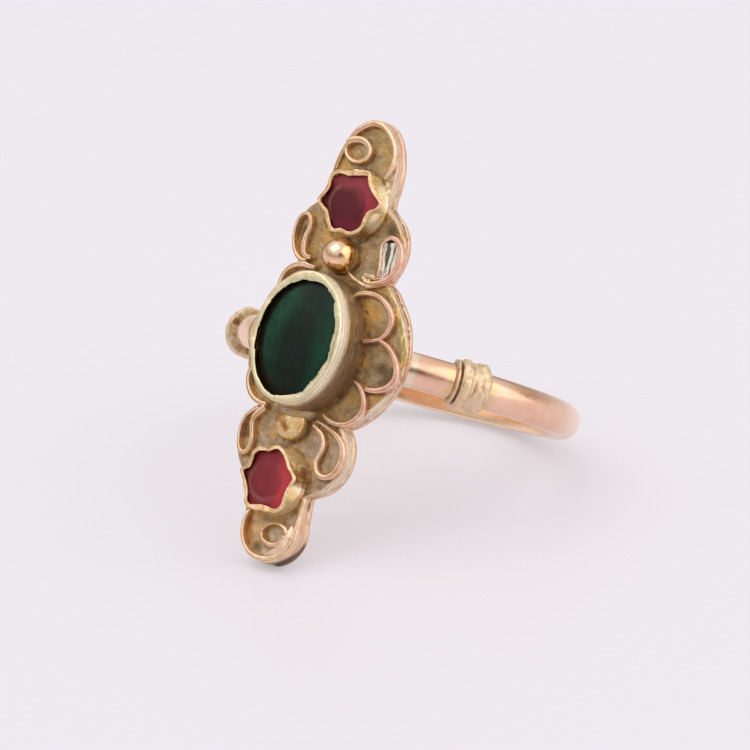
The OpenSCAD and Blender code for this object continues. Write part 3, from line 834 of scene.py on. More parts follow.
SCROLLS = {
    "upper_right": (
        [(2.82, 4.42), (2.85, 4.9), (2.74, 5.5), (2.6, 6.05), (2.66, 6.45), (3.0, 6.78), (3.45, 6.72),
         (3.8, 6.35), (3.95, 5.85), (3.95, 5.25), (3.78, 4.78), (3.42, 4.4), (2.95, 4.15), (2.4, 4.03),
         (1.95, 4.12)],
        [0.5, 0.6, 0.65, 0.7, 0.9, 1.15, 1.2, 1.0, 0.8, 0.6]),
    "upper_left": (
        [(-1.85, 4.75), (-2.15, 4.7), (-2.42, 4.88), (-2.57, 5.3), (-2.6, 5.8), (-2.5, 6.3),
         (-2.52, 6.75), (-2.78, 7.08), (-3.1, 7.08), (-3.36, 6.75), (-3.45, 6.25), (-3.4, 5.7),
         (-3.2, 5.15), (-2.88, 4.72), (-2.5, 4.5), (-2.1, 4.48)],
        [0.8, 0.9, 0.95, 0.9, 0.8, 0.6, 0.5, 0.5, 0.6, 0.8, 0.7]),
    "lower_right": (
        [(1.35, -4.45), (1.75, -4.65), (2.1, -4.9), (2.34, -5.3), (2.38, -5.7), (2.26, -6.15),
         (2.2, -6.55), (2.4, -6.95), (2.8, -7.17), (3.25, -7.12), (3.58, -6.83), (3.76, -6.4),
         (3.82, -5.9), (3.74, -5.45), (3.5, -5.05), (3.1, -4.75), (2.6, -4.5), (2.0, -4.3), (1.5, -4.2)],
        [0.6, 1.0, 1.1, 1.05, 1.0, 1.0, 1.0, 1.1, 0.9, 0.6, 0.4]),
    "lower_left": (
        [(-2.05, -4.1), (-2.36, -4.45), (-2.62, -4.82), (-2.66, -5.2), (-2.54, -5.6), (-2.42, -6.05),
         (-2.4, -6.5), (-2.52, -6.85), (-2.8, -6.95), (-3.05, -6.75), (-3.25, -6.3), (-3.32, -5.8),
         (-3.3, -5.3), (-3.15, -4.85), (-2.85, -4.5), (-2.5, -4.2)],
        [1.3, 1.2, 0.9, 0.8, 0.8, 0.8, 0.6, 0.5, 0.5, 0.6, 0.8]),
}
PETALS = {
    "right_petal_1": (
        [(1.6, 3.05), (1.95, 3.3), (2.4, 3.44), (3.0, 3.47), (3.55, 3.32), (4.1, 2.95), (4.45, 2.5),
         (4.56, 2.0), (4.45, 1.5), (4.15, 1.12), (3.75, 0.95), (3.35, 0.84), (3.05, 0.76)],
        [0.6, 0.85, 0.9, 0.85, 0.9, 1.05, 1.1, 0.9, 0.6, 0.6, 0.8]),
    "right_petal_2": (
        [(4.08, 1.04), (4.5, 0.92), (4.95, 0.68), (5.35, 0.3), (5.65, -0.15), (5.8, -0.65), (5.72, -1.1),
         (5.4, -1.48), (4.95, -1.7), (4.45, -1.8), (4.02, -1.78)],
        [0.6, 0.85, 0.95, 1.05, 1.15, 1.15, 1.0, 0.8]),
    "right_petal_3": (
        [(3.2, -1.5), (3.6, -1.7), (3.98, -2.05), (4.22, -2.5), (4.28, -2.95), (4.14, -3.4),
         (3.8, -3.78), (3.35, -4.02), (2.85, -4.1), (2.4, -4.03), (2.05, -3.88), (1.8, -3.7)],
        [0.4, 0.8, 0.9, 0.95, 1.0, 1.0, 0.9, 0.8, 0.5]),
    "left_petal_1": (
        [(-1.35, 4.22), (-1.8, 4.22), (-2.2, 4.25), (-2.65, 4.15), (-3.05, 3.9), (-3.35, 3.5),
         (-3.45, 3.0), (-3.4, 2.5), (-3.2, 2.1), (-2.9, 1.8)],
        [0.7, 1.0, 0.9, 0.8, 0.7, 0.7, 0.6]),
    "left_petal_2": (
        [(-3.2, 1.35), (-3.8, 1.2), (-4.2, 0.7), (-4.38, 0.1), (-4.32, -0.6), (-4.0, -1.2), (-3.5, -1.5),
         (-3.1, -1.55)],
        [0.7, 0.9, 1.0, 1.0, 0.9, 0.7]),
    "left_petal_3": (
        [(-3.1, -1.75), (-3.55, -1.95), (-3.78, -2.45), (-3.7, -3.0), (-3.4, -3.5), (-2.95, -3.85),
         (-2.4, -4.0), (-2.0, -3.95)],
        [0.7, 0.8, 0.8, 0.9, 0.9, 0.7]),
}
CRUMPLE = (
    [(2.8, 4.32), (2.45, 4.4), (2.05, 4.42), (1.85, 4.28), (2.1, 4.14), (2.5, 4.16)],
    [0.6, 0.8, 1.0, 0.8, 0.9, 0.7])
STRAND = (
    [(0.75, 4.45), (1.2, 4.14), (1.75, 3.93), (2.35, 3.86), (2.95, 4.0), (3.4, 4.2)],
    [0.4, 0.7, 0.8, 0.8, 0.7, 0.5])


def wire(name, line, seed, mirror=False, height=1.0, taper=0.1, material="wire", groove=0.05,
         wobble=0.008):
    """A wire through places on the plaque, rounded off at both ends over the taper."""
    places, widths = line
    path = evenly(curve_through(places, 10), WIRE_STEP)
    n = len(path)
    along = np.gradient(path, axis=0)
    along /= np.linalg.norm(along, axis=1)[:, None]
    side = np.column_stack([-along[:, 1], along[:, 0]])
    wide, tall = (np.interp(np.linspace(0, 1, n), np.linspace(0, 1, len(sizes)), sizes)
                  for sizes in (widths, np.atleast_1d(height)))
    gone = path_lengths(path)
    for dist in (gone, gone[-1] - gone):
        t = np.clip(dist / taper, 0, 1)
        round_off = np.sqrt(np.clip(1 - (1 - t) ** 2, 0, 1))
        wide, tall = wide * round_off, tall * (0.35 + 0.65 * round_off)
    off, up = np.array(ribbon_section(groove)).T
    if mirror:
        off = -off
    points = np.empty((n, len(off), 3))
    points[..., :2] = path[:, None] + side[:, None] * (off[None, :, None] * wide[:, None, None])
    points[..., 2] = np.where(up > 0, up[None, :] * tall[:, None], up[None, :])
    shake = noises(points, (1.0, 0.9, seed), (0.5, 0.3, seed + 5))
    points[..., :2] += side[:, None] * (shake * wobble)[..., None]
    points[..., 2] += value_noise(points, 0.6, seed + 9) * wobble * (up > 0)
    faces = grid_faces(n, len(off), closed_cols=True)
    make_piece(name, [(points, faces, 0)], material, sharp=50)


def wirework():
    """All wires on the plaque's face."""
    wire("upper_rim_wire", UPPER_RIM, 101, mirror=True, height=(1, 1, 1, 1, 0.9, 0.5, 0.3))
    wire("upper_curl", UPPER_CURL, 102, groove=0.02)
    wire("lower_rim_wire", LOWER_RIM, 103, taper=0.3, groove=0.0,
         height=(1, 1, 1, 1, 1, 1, 0.9, 0.6, 0.45))
    wire("lower_curl", LOWER_CURL, 104, groove=0.02)
    wire("lower_curl_fill", LOWER_FILL, 105, height=(0.6, 0.85, 0.92, 0.9, 0.5),
         material="fill", groove=0.0, wobble=0.01)
    for k, (name, line) in enumerate(SCROLLS.items()):
        wire(name + "_scroll", line, 110 + k, mirror=name in ("upper_right", "lower_left"))
    for k, (name, line) in enumerate(PETALS.items()):
        wire(name, line, 120 + k, mirror=name.startswith("right"))
    wire("crumpled_tail", CRUMPLE, 130, height=0.9, material="solder", wobble=0.05)
    wire("thin_tail", STRAND, 132, height=0.7, material="solder", wobble=0.02)


def drop_floor():
    """The hollow floor inside the upper right scroll, bright with painted reflections."""
    u, v = np.meshgrid(np.linspace(0, 1, 40), np.linspace(-1, 1, 24), indexing="ij")
    spine = np.array([(3.05, 4.45), (3.3, 5.0), (3.38, 5.5), (3.3, 6.0), (3.2, 6.55)])
    t = np.linspace(0, 1, 5)
    half = np.interp(u, t, [0.25, 0.5, 0.62, 0.66, 0.4])
    points = np.empty(u.shape + (3,))
    points[..., 0] = np.interp(u, t, spine[:, 0]) + v * half
    points[..., 1] = np.interp(u, t, spine[:, 1]) + 0.1 * v
    points[..., 2] = 0.05 + 0.18 * v ** 2 + 0.12 * u + 0.015 * value_noise(points, 0.6, 36)
    make_piece("bright_scroll_floor", [(points, grid_faces(*u.shape), 0)], "bright")


# Collets, beads and stones

# The openings' edges as places on the plaque
STAR_EDGE = {
    1: [(-1.82, 8.0), (-1.6, 8.38), (-1.43, 8.78), (-1.5, 9.2), (-1.42, 9.48), (-1.1, 9.66),
        (-0.75, 9.68), (-0.45, 9.64), (0.1, 9.75), (0.55, 9.84), (0.86, 9.84), (0.98, 9.6), (1.16, 9.3),
        (1.5, 8.95), (1.93, 8.62), (2.08, 8.42), (1.9, 8.14), (1.55, 7.95), (1.38, 7.6), (1.3, 7.15),
        (1.15, 6.85), (0.85, 6.65), (0.5, 6.57), (0.05, 6.65), (-0.4, 6.55), (-0.68, 6.75),
        (-0.95, 7.2), (-1.17, 7.52), (-1.5, 7.72)],
    -1: [(-1.87, -7.95), (-1.5, -7.7), (-1.43, -7.25), (-1.4, -6.9), (-1.2, -6.7), (-0.8, -6.6),
         (-0.5, -6.58), (-0.25, -6.42), (0.05, -6.33), (0.4, -6.5), (0.72, -6.85), (0.95, -7.2),
         (1.25, -7.45), (1.5, -7.72), (1.4, -8.05), (1.3, -8.45), (1.27, -8.9), (1.25, -9.25),
         (1.13, -9.5), (0.85, -9.62), (0.4, -9.57), (-0.05, -9.56), (-0.5, -9.65), (-0.85, -9.7),
         (-1.1, -9.5), (-1.2, -9.1), (-1.38, -8.7), (-1.65, -8.3)],
}
STAR_MIDDLE = {1: (0.08, 8.2), -1: (-0.08, -8.08)}
OVAL_EDGE = [(0.2, 3.3), (0.75, 3.27), (1.2, 3.12), (1.38, 2.92), (1.9, 2.42), (1.97, 2.2), (2.2, 1.6),
             (2.4, 1.0), (2.46, 0.4), (2.48, -0.3), (2.53, -0.85), (2.32, -1.15), (2.1, -1.85),
             (1.68, -2.5), (1.45, -2.92), (0.9, -3.22), (0.0, -3.45), (-0.8, -3.4), (-1.35, -3.0),
             (-1.95, -2.3), (-2.3, -1.4), (-2.47, -0.6), (-2.5, 0.3), (-2.35, 1.2), (-2.05, 1.85),
             (-1.6, 2.5), (-1.05, 2.97), (-0.45, 3.22)]


def edge_radius(places, middle, angle):
    """The radius of a closed edge round a middle, at each angle."""
    edge = curve_through(places, 8, closed=True) - middle
    turn = np.arctan2(edge[:, 1], edge[:, 0])
    r = np.hypot(edge[:, 0], edge[:, 1])
    order = np.argsort(turn)
    return np.interp(angle, turn[order], r[order], period=2 * math.pi)


def star_collet(name, end, seed):
    """A thin tube pressed in over its stone, with a bright wavy lip."""
    steps, levels = 320, 16
    angle = around(steps)
    middle = STAR_MIDDLE[end]
    opening = edge_radius(STAR_EDGE[end], middle, angle)
    fold = np.exp(-((angle - math.radians(90 * end) % (2 * math.pi)) / 0.45) ** 2)
    crumple = value_noise(np.column_stack([np.cos(angle), np.sin(angle), 0 * angle]), 0.16, seed)
    lip = opening + 0.22 + 0.14 * fold + 0.05 * crumple
    foot = 1.9 + 0.02 * np.cos(3 * angle + seed)
    top = STAR_H - 0.02 + 0.03 * np.cos(2 * angle + seed) + 0.04 * crumple
    # The foot, the wall up to the lip, over the lip and down its inside, then the stone's seat
    rows = [(foot + 0.09, -0.08), (foot + 0.05, 0.02), (foot + 0.01, 0.09), (foot, 0.2)]
    for t in np.linspace(0.1, 1, levels):
        lean = t ** 1.6 * (1.6 - 0.6 * t)
        rows.append((foot + (lip - foot) * lean - 0.05 * np.sin(math.pi * t) * (foot > lip),
                     0.2 + (top - 0.26) * t ** 0.85))
    rows += [(lip, top - 0.04), (lip - 0.02, top + 0.01), (lip - 0.07, top + 0.03),
             (0.5 * (lip + opening) + 0.02, top - 0.015 - 0.02 * crumple),
             (opening + 0.05, top + 0.022), (opening + 0.015, top + 0.005), (opening, top - 0.03),
             (opening, top - 0.09), (opening + 0.03, top - 0.16)]
    outside = len(rows)
    seat, inside_r = np.maximum(1.86, opening + 0.05), 1.7
    rows += [(np.minimum(seat, lip - 0.02), top - 0.2), (inside_r, 0.5), (inside_r, -0.08)]
    points = ring_points(middle, rows, angle)
    shake = noises(points, (0.02, 0.5, seed), (0.006, 0.2, seed + 1))
    out = points[..., :2] - middle
    out /= np.linalg.norm(out, axis=-1)[..., None]
    lift = smoothstep(0.1, 0.5, points[..., 2])
    points[..., :2] += out * (shake * lift)[..., None]
    points[..., 2] += 0.5 * np.roll(shake, 5, axis=0) * lift
    faces = grid_faces(steps, len(rows), True, True)
    # Faces inside the lip get the inside material, which is painted shade.
    within = (faces[:, 0] % len(rows) >= outside - 1).astype(int)
    high = np.zeros((steps, len(rows)))
    high[:, levels + 4:] = 1.0
    turn = np.broadcast_to(angle[:, None], high.shape)
    crust_and_shadow = bump_at(turn, *((0.35, 0.5), (5.3, 0.3))[end > 0]) * (1 - high)
    make_piece(name, [(points, faces, within)], "star within", sharp=60,
               marks={"lip": high, "crust_and_shadow": crust_and_shadow})


def oval_wall(angle):
    """The oval collet's outer radius at each angle."""
    half = [opening + OVAL_LIP + OVAL_WALL for opening in OVAL_OPEN]
    return 1 / np.hypot(np.cos(angle) / half[0], np.sin(angle) / half[1])


def push_out(points, angle, distance):
    """Move points away from the middle, in the direction of their angle."""
    points[..., 0] += distance * np.cos(angle)[:, None]
    points[..., 1] += distance * np.sin(angle)[:, None]


def oval_collet():
    """A tall wall with turned lines, and a pale rim torn inwards over the stone."""
    steps = 480
    angle = around(steps)
    out = oval_wall(angle)
    where = np.column_stack([2.7 * np.cos(angle), 3.5 * np.sin(angle), np.zeros(steps)])
    tear = edge_radius(OVAL_EDGE, (0.0, 0.0), angle)
    tear += 0.018 * value_noise(where, 0.3, 51) + 0.025 * np.sign(value_noise(where, 0.45, 54))
    tear += 0.08 * smoothstep(-0.2, -0.8, np.cos(angle))
    turn = np.degrees(np.arctan2(np.sin(angle), np.cos(angle)))
    crack = smoothstep(-58, -45, turn) * smoothstep(35, 18, turn)
    channel = smoothstep(-72, -60, turn) * smoothstep(-8, -25, turn)
    top = OVAL_H + 0.02 * value_noise(where, 1.2, 52)
    # Heights of the wall with how far it stands out there, and shares of the way over the rim
    wall = ((-0.1, -0.01), (1.35, -0.01), (1.46, 0), (1.52, 0.012), (1.57, 0.015), (1.63, 0.012),
            (1.7, 0.008), (1.77, 0.004), (1.84, 0.004), (1.92, 0.008), (2.0, 0.006),
            (2.07, -0.012), (2.13, -0.022), (2.2, -0.005), (2.27, 0.01), (2.33, 0.0))
    rim = (0.0, 0.06, 0.14, 0.22, 0.28, 0.34, 0.4, 0.46, 0.52, 0.6, 0.7, 0.8, 0.9, 0.96)
    rows = [(out + more, h) for h, more in wall]
    for t in rim:
        h = top + 0.015 * math.sin(math.pi * t) - 0.03 * (1 - min(t / 0.1, 1)) ** 2
        h = h - 0.11 * crack * math.exp(-((t - 0.46) / 0.07) ** 2)
        h = h - 0.1 * channel * math.exp(-((t - 0.58) / 0.22) ** 2)
        rows.append((out - 0.02 + (tear - out + 0.02) * t, h))
    outside = len(rows)
    rows += [(tear, top - 0.015), (tear, top - 0.1), (tear + 0.02, OVAL_H - OVAL_RIM_T + 0.05)]
    rows += [(out - OVAL_WALL, h) for h in (OVAL_H - OVAL_RIM_T, 0.3, -0.1)]
    points = ring_points((0.0, 0.0), rows, angle)
    shake = noises(points, (0.016, 0.7, 56), (0.006, 0.2, 57))
    shake *= smoothstep(1.4, 1.7, points[..., 2])
    points[..., 2] += shake
    push_out(points, angle, shake)
    hollow = np.zeros(points.shape[:2])
    depth = np.exp(-((np.linspace(0, 1, len(rim)) - 0.55) / 0.28) ** 2)
    hollow[:, len(wall):outside] = (crack + channel)[:, None] * depth
    faces = grid_faces(steps, len(rows), True, True)
    # Faces inside the rim get the inside material, which is painted shade.
    within = (faces[:, 0] % len(rows) >= outside).astype(int)
    make_piece("oval_collet", [(points, faces, within)], "oval within", sharp=70,
               marks={"hollow": np.clip(hollow, 0, 1)})


def oval_foot():
    """A darker strip round the lower part of the oval collet."""
    angle = around(360)
    wall = oval_wall(angle)
    rows = [(wall + 0.12, -0.02), (wall + 0.1, 0.12)]
    rows += [(wall + OVAL_FOOT, h) for h in np.linspace(0.25, 1.46, 12)]
    rows += [(wall + 0.09, 1.55), (wall + 0.06, 1.61), (wall + 0.03, 1.65), (wall - 0.05, 1.66),
             (wall - 0.05, -0.1), (wall + 0.1, -0.1)]
    points = ring_points((0.0, 0.0), rows, angle)
    flat = points * [1, 1, 3.0]
    push_out(points, angle, 0.015 * value_noise(flat, 0.4, 61) + 0.025 * value_noise(points, 0.8, 62))
    make_piece("oval_foot", [(points, grid_faces(len(angle), len(rows), True, True), 0)], "foot",
               sharp=60)


def bead(name, end, worn, seed):
    """A ball soldered to the face, or one worn flat."""
    steps, size = 96, 0.02 if worn else 0.01
    profile = [(BEAD_R * math.cos(a), BEAD_H + BEAD_R * math.sin(a))
               for a in np.linspace(-0.85 * math.pi / 2, math.pi / 2, 44)]
    if worn:
        profile = curve_through([(0.7, -0.05), (0.92, 0.1), (1.0, 0.25), (1.0, 0.4), (0.97, 0.54),
                                 (0.9, 0.64), (0.76, 0.71), (0.52, 0.74), (0.25, 0.75), (0.0, 0.76)],
                                5)
    middle = BEADS[end]
    points = ring_points(middle, profile, around(steps))
    points[:, -1, :2] = middle
    shake = noises(points, (size, 0.7, seed), (size * 0.5, 0.25, seed + 1))
    points[..., :2] += (points[..., :2] - middle) * shake[..., None]
    points[..., 2] += shake * (1.0 if worn else 0.5) * smoothstep(0.2, 0.6, points[..., 2])
    make_piece(name, [(points, capped_faces(steps, len(profile), 0), 0)],
               "worn_bead" if worn else "bead", sharp=60)


def bead_foot(name, end, radius, seed):
    """Solder run in round a bead's foot."""
    profile = [(radius - 0.02, 0.34), (radius + 0.01, 0.2), (radius + 0.05, 0.11),
               (radius + 0.06, 0.04), (radius + 0.06, -0.08),
               (radius - 0.25, -0.08), (radius - 0.25, 0.3)]
    points = ring_points(BEADS[end], profile, around(72))
    points[..., :2] += 0.06 * value_noise(points, 0.6, seed)[..., None]
    marks = {"border": np.ones(points.shape[:2]), "near": np.full(points.shape[:2], 0.5)}
    make_piece(name, [(points, grid_faces(72, len(profile), True, True), 0)], "face",
               marks=marks)


def solder_lump(name, middle, radii, top, seed):
    """A low tarnished mound of solder, longer across than along."""
    steps, rings = 96, 24
    profile = [(math.cos(a), top * math.sin(a)) for a in np.linspace(-0.1, math.pi / 2, rings)]
    points = ring_points((0.0, 0.0), profile, around(steps))
    points[:, -1, :2] = 0
    points[..., :2] = np.array(middle) + points[..., :2] * np.array(radii)
    points += (0.05 * value_noise(points, 0.5, seed))[..., None]
    make_piece(name, [(points, capped_faces(steps, rings, 0), 0)], "foot", sharp=60)


def centre_stone():
    """The green stone: a low dome that leaves a small gap to the metal."""
    steps, rings = 128, 40
    angle = around(steps)
    half = [h + OVAL_LIP - STONE_GAP for h in OVAL_OPEN]
    edge = OVAL_H - OVAL_RIM_T - STONE_GAP - DOME_H * (1 - (OVAL_OPEN[0] / half[0]) ** 2)
    share = np.linspace(0, 1, rings)
    rows = [(half[0] * t, half[1] * t, edge + DOME_H * (1 - t ** 2)) for t in share]
    rows += [(half[0] - inset, half[1] - inset, h)
             for inset, h in ((0.0, edge - 0.06), (0.0, 0.12), (0.07, STONE_GAP))]
    points = np.stack([np.column_stack([a * np.cos(angle), b * np.sin(angle), np.full(steps, h)])
                       for a, b, h in rows], axis=1)
    points[:, 0] = points[0, 0]
    # The margin mark carries a painted shadow at the stone's left edge, under the lip.
    margin = np.ones((steps, len(rows)))
    margin[:, :rings] = smoothstep(0.83, 0.88, share)
    margin *= smoothstep(0.45, -0.2, np.cos(angle))[:, None]
    make_piece("green_stone", [(points, capped_faces(steps, len(rows), len(rows) - 1), 0)], "green",
               "centre_stone", sharp=40, marks={"margin": margin})


def red_stone(name, end, node, material, table_at, table_r, soft):
    """A round stone: a table, eight crown facets softened by wear and a girdle."""
    steps, sides = 96, 8
    angle = around(steps)
    middle = np.array(STAR_MIDDLE[end])
    phase = angle % (2 * math.pi / sides) - math.pi / sides
    facet = 1 + (math.cos(math.pi / sides) / np.cos(phase) - 1) * (1 - soft)
    opening = edge_radius(STAR_EDGE[end], middle, angle)
    anywhere = 9.0
    # Radius, height, most radius under the lip, and share of the table's shift
    rows = [(0.0, 0.875, anywhere, 1), (table_r * 0.5, 0.87, anywhere, 1),
            (table_r - 0.1, 0.86, anywhere, 1), (table_r, 0.85 - 0.03 * soft, opening + 0.01, 1),
            (table_r + 0.07, 0.82 - 0.02 * soft, opening + 0.02, 0.9),
            (1.5 * facet, 0.79, opening + 0.04, 0.4), (1.88, 0.75, opening + 0.06, 0),
            (1.92, 0.66, np.minimum(opening + 0.1, 1.9), 0), (1.6, 0.1, anywhere, 0),
            (1.5, 0.05, anywhere, 0)]
    points = np.stack([ring_points(middle + (np.array(table_at) - middle) * share,
                                   [(np.minimum(r, most), h)], angle)[:, 0]
                       for r, h, most, share in rows], axis=1)
    table, rim = np.zeros((2, steps, len(rows)))
    table[:, :4] = 1
    rim[:, 3:5] = 1
    make_piece(name, [(points, capped_faces(steps, len(rows), len(rows) - 1), 0)], material,
               node, sharp=12 if soft < 0.5 else 40,
               marks={"table": table, "rim": rim})


# Hoop, collars and solder

def hoop_section(grow, inner, steps=14):
    """The hoop's D-shaped section as (radius, sideways) pairs."""
    half = HOOP_W / 2 + grow
    crown = CROWN_R + grow
    widest = math.asin(min(half / crown, 1.0))
    outer = [(CROWN_C + crown * math.cos(a), crown * math.sin(a))
             for a in np.linspace(-widest, widest, steps)]
    cut = 0.12
    low = [(inner + cut, half), (inner + 0.3 * cut, half - 0.3 * cut), (inner, half - cut)]
    flat = [(inner, y) for y in np.linspace(half - cut, -(half - cut), 5)[1:-1]]
    return outer + low + flat + [(r, -y) for r, y in low[::-1]]


def hoop_points(angle, section):
    """Places of a section at an angle from the plaque's middle."""
    section = np.asarray(section, float)
    a = math.radians(angle)
    return np.column_stack([section[:, 0] * math.sin(a), section[:, 1],
                            HOOP_H + section[:, 0] * math.cos(a)])


def hoop():
    """The hoop from one side of the plaque round to the other, with painted dark reflections, stains and
    a pale patch marked on it.
    """
    angles = np.linspace(OPEN_ANGLE, 360 - OPEN_ANGLE, 360)
    section = np.array(hoop_section(0.0, FINGER_R))
    points = np.stack([hoop_points(a, section) for a in angles])
    points += noises(points, (0.012, 2.2, 81), (0.004, 0.6, 82))[..., None]
    points[..., 2] = np.minimum(points[..., 2], -(PLAQUE_T - BACK_T / 2))
    at, across = np.meshgrid(angles, section[:, 1], indexing="ij")
    outer = section[:, 0] > CROWN_C
    # Places of painted dark reflection and of stains, in degrees round the hoop from the plaque's middle
    # and mm across it
    near = bump_at(at, 38.0, 7.0) * bump_at(across, 0.05, 0.3)
    rim = bump_at(across, 0.92, 0.1) * smoothstep(30.0, 40.0, at) * smoothstep(112.0, 100.0, at)
    far = bump_at(at, 96.0, 9.0) * bump_at(across, 0.72, 0.22)
    wander = 2.0 * value_noise(points, 0.7, 84)
    stain = (bump_at(at, 46.2, 1.7) + bump_at(at, 60.4, 1.6)) * outer
    # The first mark is painted dark reflection; the inside marks carry a painted golden orange
    # reflection of the head.
    marks = {"painted_dark_streak": np.clip(near + rim + far, 0, 1) * outer,
             "inside": np.tile(section[:, 0] < FINGER_R + 0.1, (len(angles), 1)),
             "near_head": smoothstep(62.0, 38.0, np.minimum(at, 360 - at)),
             "patch": smoothstep(35.2, 34.2, at + 0.5 * wander) * outer,
             "stain": np.clip(stain, 0, 1)}
    make_piece("hoop", [(points, tube_faces(len(angles), len(section)), 0)], "hoop",
               sharp=60, marks=marks)


def hoop_band(name, middle, length, growth, material, rough, seed, slices=72, crumple=0.0):
    """A band round the hoop whose growth is a function of the place along it."""
    places = np.linspace(-length / 2, length / 2, slices)
    angles = [middle + math.degrees(s / HOOP_R) for s in places]
    points = np.stack([hoop_points(a, hoop_section(growth(s), FINGER_R + BAND_IN, 26))
                       for a, s in zip(angles, places)])
    out = points - np.stack([hoop_points(a, [(CROWN_C, 0.0)]) for a in angles])
    out /= np.linalg.norm(out, axis=-1)[..., None]
    shake = rough * noises(points, (1.0, 0.45, seed), (0.4, 0.16, seed + 1))
    crease = np.clip(1 - np.abs(value_noise(points, 0.66, seed + 2)) / 0.15, 0, 1) * crumple
    points += out * (shake - crease)[..., None]
    m = points.shape[1]
    # The hollow mark carries painted shade in the grooves, at the ends and in the creases.
    groove = np.repeat([[max(0.0, 1 - growth(s) / (COLLAR_T + 0.05))] for s in places], m, axis=1)
    groove = np.maximum(groove, np.abs(2 * places / length)[:, None] ** 14)
    groove = np.maximum(groove, 5 * crease)
    make_piece(name, [(points, tube_faces(slices, m), 0)], material, sharp=70,
               marks={"hollow": groove})


def collar_growth(s):
    """A collar's thickness along it: two ridges with a hammered groove between them."""
    ends = smoothstep(COLLAR_LEN / 2, COLLAR_LEN / 2 - 0.07, abs(s))
    ridges = sum(math.exp(-((s - k * RIDGE_APART) / (RIDGE_LEN * 0.45)) ** 4) for k in (-0.5, 0.5))
    return float(-0.08 + ends * (0.08 + COLLAR_T + RIDGE_T * ridges))


def ring_growth(s):
    """The thickness of the thin ring in front of a collar."""
    return float(-0.08 + (0.08 + COLLAR_T) * math.sqrt(max(0.0, 1 - (2 * s / RING_LEN) ** 2)))


def solder_growth(s):
    """The thickness of the solder where the hoop meets the plaque."""
    return float(-0.05 + (0.05 + SOLDER_T) * math.cos(s / SOLDER_LEN * math.pi))


def collars():
    """On each side of the head a collar, a thin ring in front of it and the hoop's solder."""
    near = COLLAR_ANGLE - math.degrees((COLLAR_LEN / 2 + RING_LEN + 0.05) / HOOP_R)
    foot = math.degrees(math.acos((FINGER_R + SEAT_GAP) / HOOP_R))
    for side, name, crust in ((1, "right", "collar"), (-1, "left", "crusted")):
        hoop_band(f"{name}_collar", side * (COLLAR_ANGLE - 0.9), COLLAR_LEN, collar_growth,
                  "collar", 0.06, 90 + side, crumple=0.075)
        hoop_band(f"{name}_collar_ring", side * near, RING_LEN, ring_growth, crust, 0.025,
                  95 + side, 20)
        hoop_band(f"{name}_solder", side * foot, SOLDER_LEN, solder_growth, "solder", 0.03,
                  98 + side, 30)


plaque_body()
back_plate()
wirework()
drop_floor()
star_collet("upper_star_collet", 1, 131)
star_collet("lower_star_collet", -1, 134)
oval_collet()
oval_foot()
bead("upper_bead", 1, False, 141)
bead("lower_bead", -1, True, 143)
bead_foot("upper_bead_foot", 1, BEAD_R, 145)
bead_foot("lower_bead_foot", -1, 0.97, 147)
solder_lump("lower_bead_solder", (0.05, -3.95), (1.3, 0.6), 1.0, 149)
hoop()
collars()
centre_stone()
red_stone("upper_red_stone", 1, "upper_stone", "upper_red", (-0.1, 8.1), 1.15, 0.9)
red_stone("lower_red_stone", -1, "lower_stone", "lower_red", (-0.3, -8.15), 1.05, 0.3)

# Floor, light and camera

def direction(azimuth, elevation):
    """The direction from the ring towards a lamp or the camera, from angles in degrees."""
    a, e = math.radians(azimuth), math.radians(elevation)
    return Vector((math.sin(a) * math.cos(e), -math.cos(a) * math.cos(e), math.sin(e)))


def place(name, data, location, back):
    """A lamp or the camera, which looks the opposite way from back."""
    thing = bpy.data.objects.new(name, data)
    thing.location = location
    thing.rotation_mode = "QUATERNION"
    thing.rotation_quaternion = (-back).to_track_quat("-Z", "Y")
    scene.collection.objects.link(thing)
    return thing


def make_floor():
    """Pale paper under the ring."""
    s = Shader("pale_paper")
    s.colour = s.tones((0.004, 3.0), 0.3, 0.7, "b0adb3", "aeabb2")
    s.rough = s.ramp((0.02, 3.0), 0.3, 0.7, 0.42, 0.46)
    mesh = bpy.data.meshes.new("floor")
    bm = bmesh.new()
    bmesh.ops.create_grid(bm, x_segments=8, y_segments=8, size=2.5)
    bm.to_mesh(mesh)
    bm.free()
    mesh.materials.append(s.finish(0.0, Specular_IOR_Level=0.2, Emission_Color="f3eff5",
                                   Emission_Strength=0.4))
    floor = bpy.data.objects.new("floor", mesh)
    scene.collection.objects.link(floor)


def make_light(name, azimuth, elevation, distance, size, power, colour):
    """A square lamp that shines at the ring. Distance and size are in metres, power in watts."""
    light = bpy.data.lights.new(name, "AREA")
    light.shape, light.size = "SQUARE", size
    light.energy, light.color = power, rgb(colour)[:3]
    back = direction(azimuth, elevation)
    place(name, light, Vector((0, 0, 0.01)) + back * distance, back)


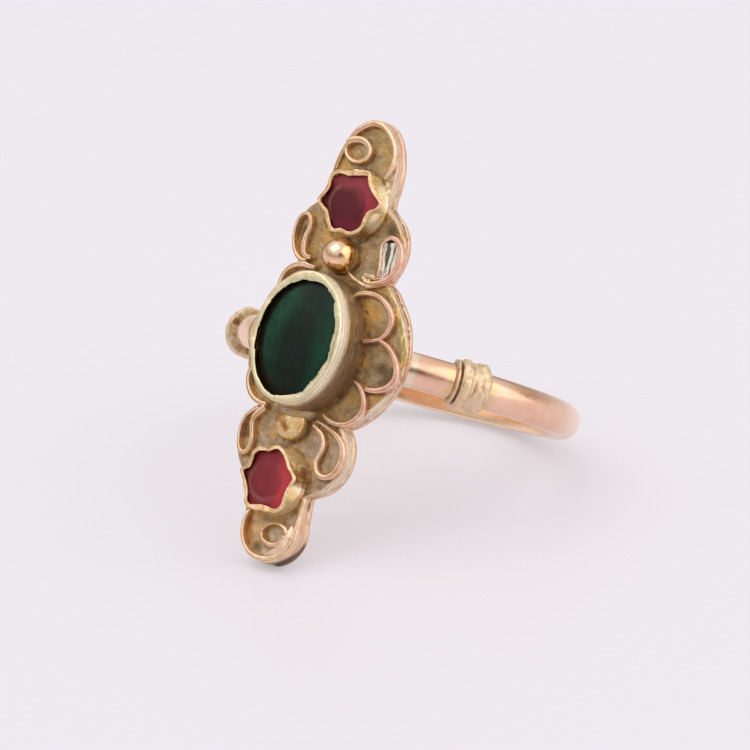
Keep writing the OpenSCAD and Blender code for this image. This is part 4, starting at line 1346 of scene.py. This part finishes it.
def make_world():
    """A bright tent, a little darker low down and where the camera stands."""
    tent = bpy.data.worlds.new("tent")
    tent.use_nodes = True
    nodes, links = tent.node_tree.nodes, tent.node_tree.links
    where = nodes.new("ShaderNodeTexCoord").outputs["Generated"]
    split = nodes.new("ShaderNodeSeparateXYZ")
    links.new(where, split.inputs[0])
    up = nodes.new("ShaderNodeValToRGB")
    links.new(split.outputs[2], up.inputs[0])
    ramp = up.color_ramp.elements
    ramp[0].color, ramp[1].color = rgb("e4e1e2"), rgb("ffffff")
    for height, code in ((0.1, "d8d3d0"), (0.24, "b9b1aa"), (0.4, "e6e2df"), (0.6, "fbfaf9")):
        ramp.new(height).color = rgb(code)
    window = nodes.new("ShaderNodeVectorMath")
    window.operation = "DOT_PRODUCT"
    links.new(where, window.inputs[0])
    window.inputs[1].default_value = (0.6, -0.7, 0.39)
    dark = nodes.new("ShaderNodeMapRange")
    links.new(window.outputs["Value"], dark.inputs["Value"])
    dark.inputs["From Min"].default_value = 0.965
    dark.inputs["From Max"].default_value = 0.985
    shade = nodes.new("ShaderNodeMix")
    shade.data_type = "RGBA"
    links.new(dark.outputs["Result"], shade.inputs["Factor"])
    links.new(up.outputs[0], shade.inputs[6])
    shade.inputs[7].default_value = rgb("8a796e")
    links.new(shade.outputs[2], nodes["Background"].inputs[0])
    nodes["Background"].inputs[1].default_value = 0.95
    scene.world = tent


def make_camera():
    """The camera as it was fitted to the photo: its lens, direction, target in mm and roll."""
    lens, azimuth, elevation, roll = 194.14, 36.319, 23.419, -2.377
    target, distance = Vector((0.816, -1.035, 7.958)), 232.823
    camera = bpy.data.cameras.new("camera")
    camera.lens, camera.sensor_width, camera.sensor_fit = lens, 36.0, "HORIZONTAL"
    camera.clip_start, camera.clip_end = 0.01, 10.0
    back = direction(azimuth, elevation)
    eye = place("camera", camera, target * MM + back * distance * MM, back)
    turn = (-back).to_track_quat("-Z", "Y").to_matrix().to_4x4()
    eye.rotation_quaternion = (turn @ Matrix.Rotation(math.radians(roll), 4, "Z")).to_quaternion()
    scene.camera = eye


make_floor()
make_world()
make_light("key", -40, 62, 0.6, 0.5, 0.8, "fffdfb")
make_light("side", 100, 28, 0.7, 0.9, 2.3, "fffaf5")
make_camera()

scene.view_settings.view_transform = "Standard"
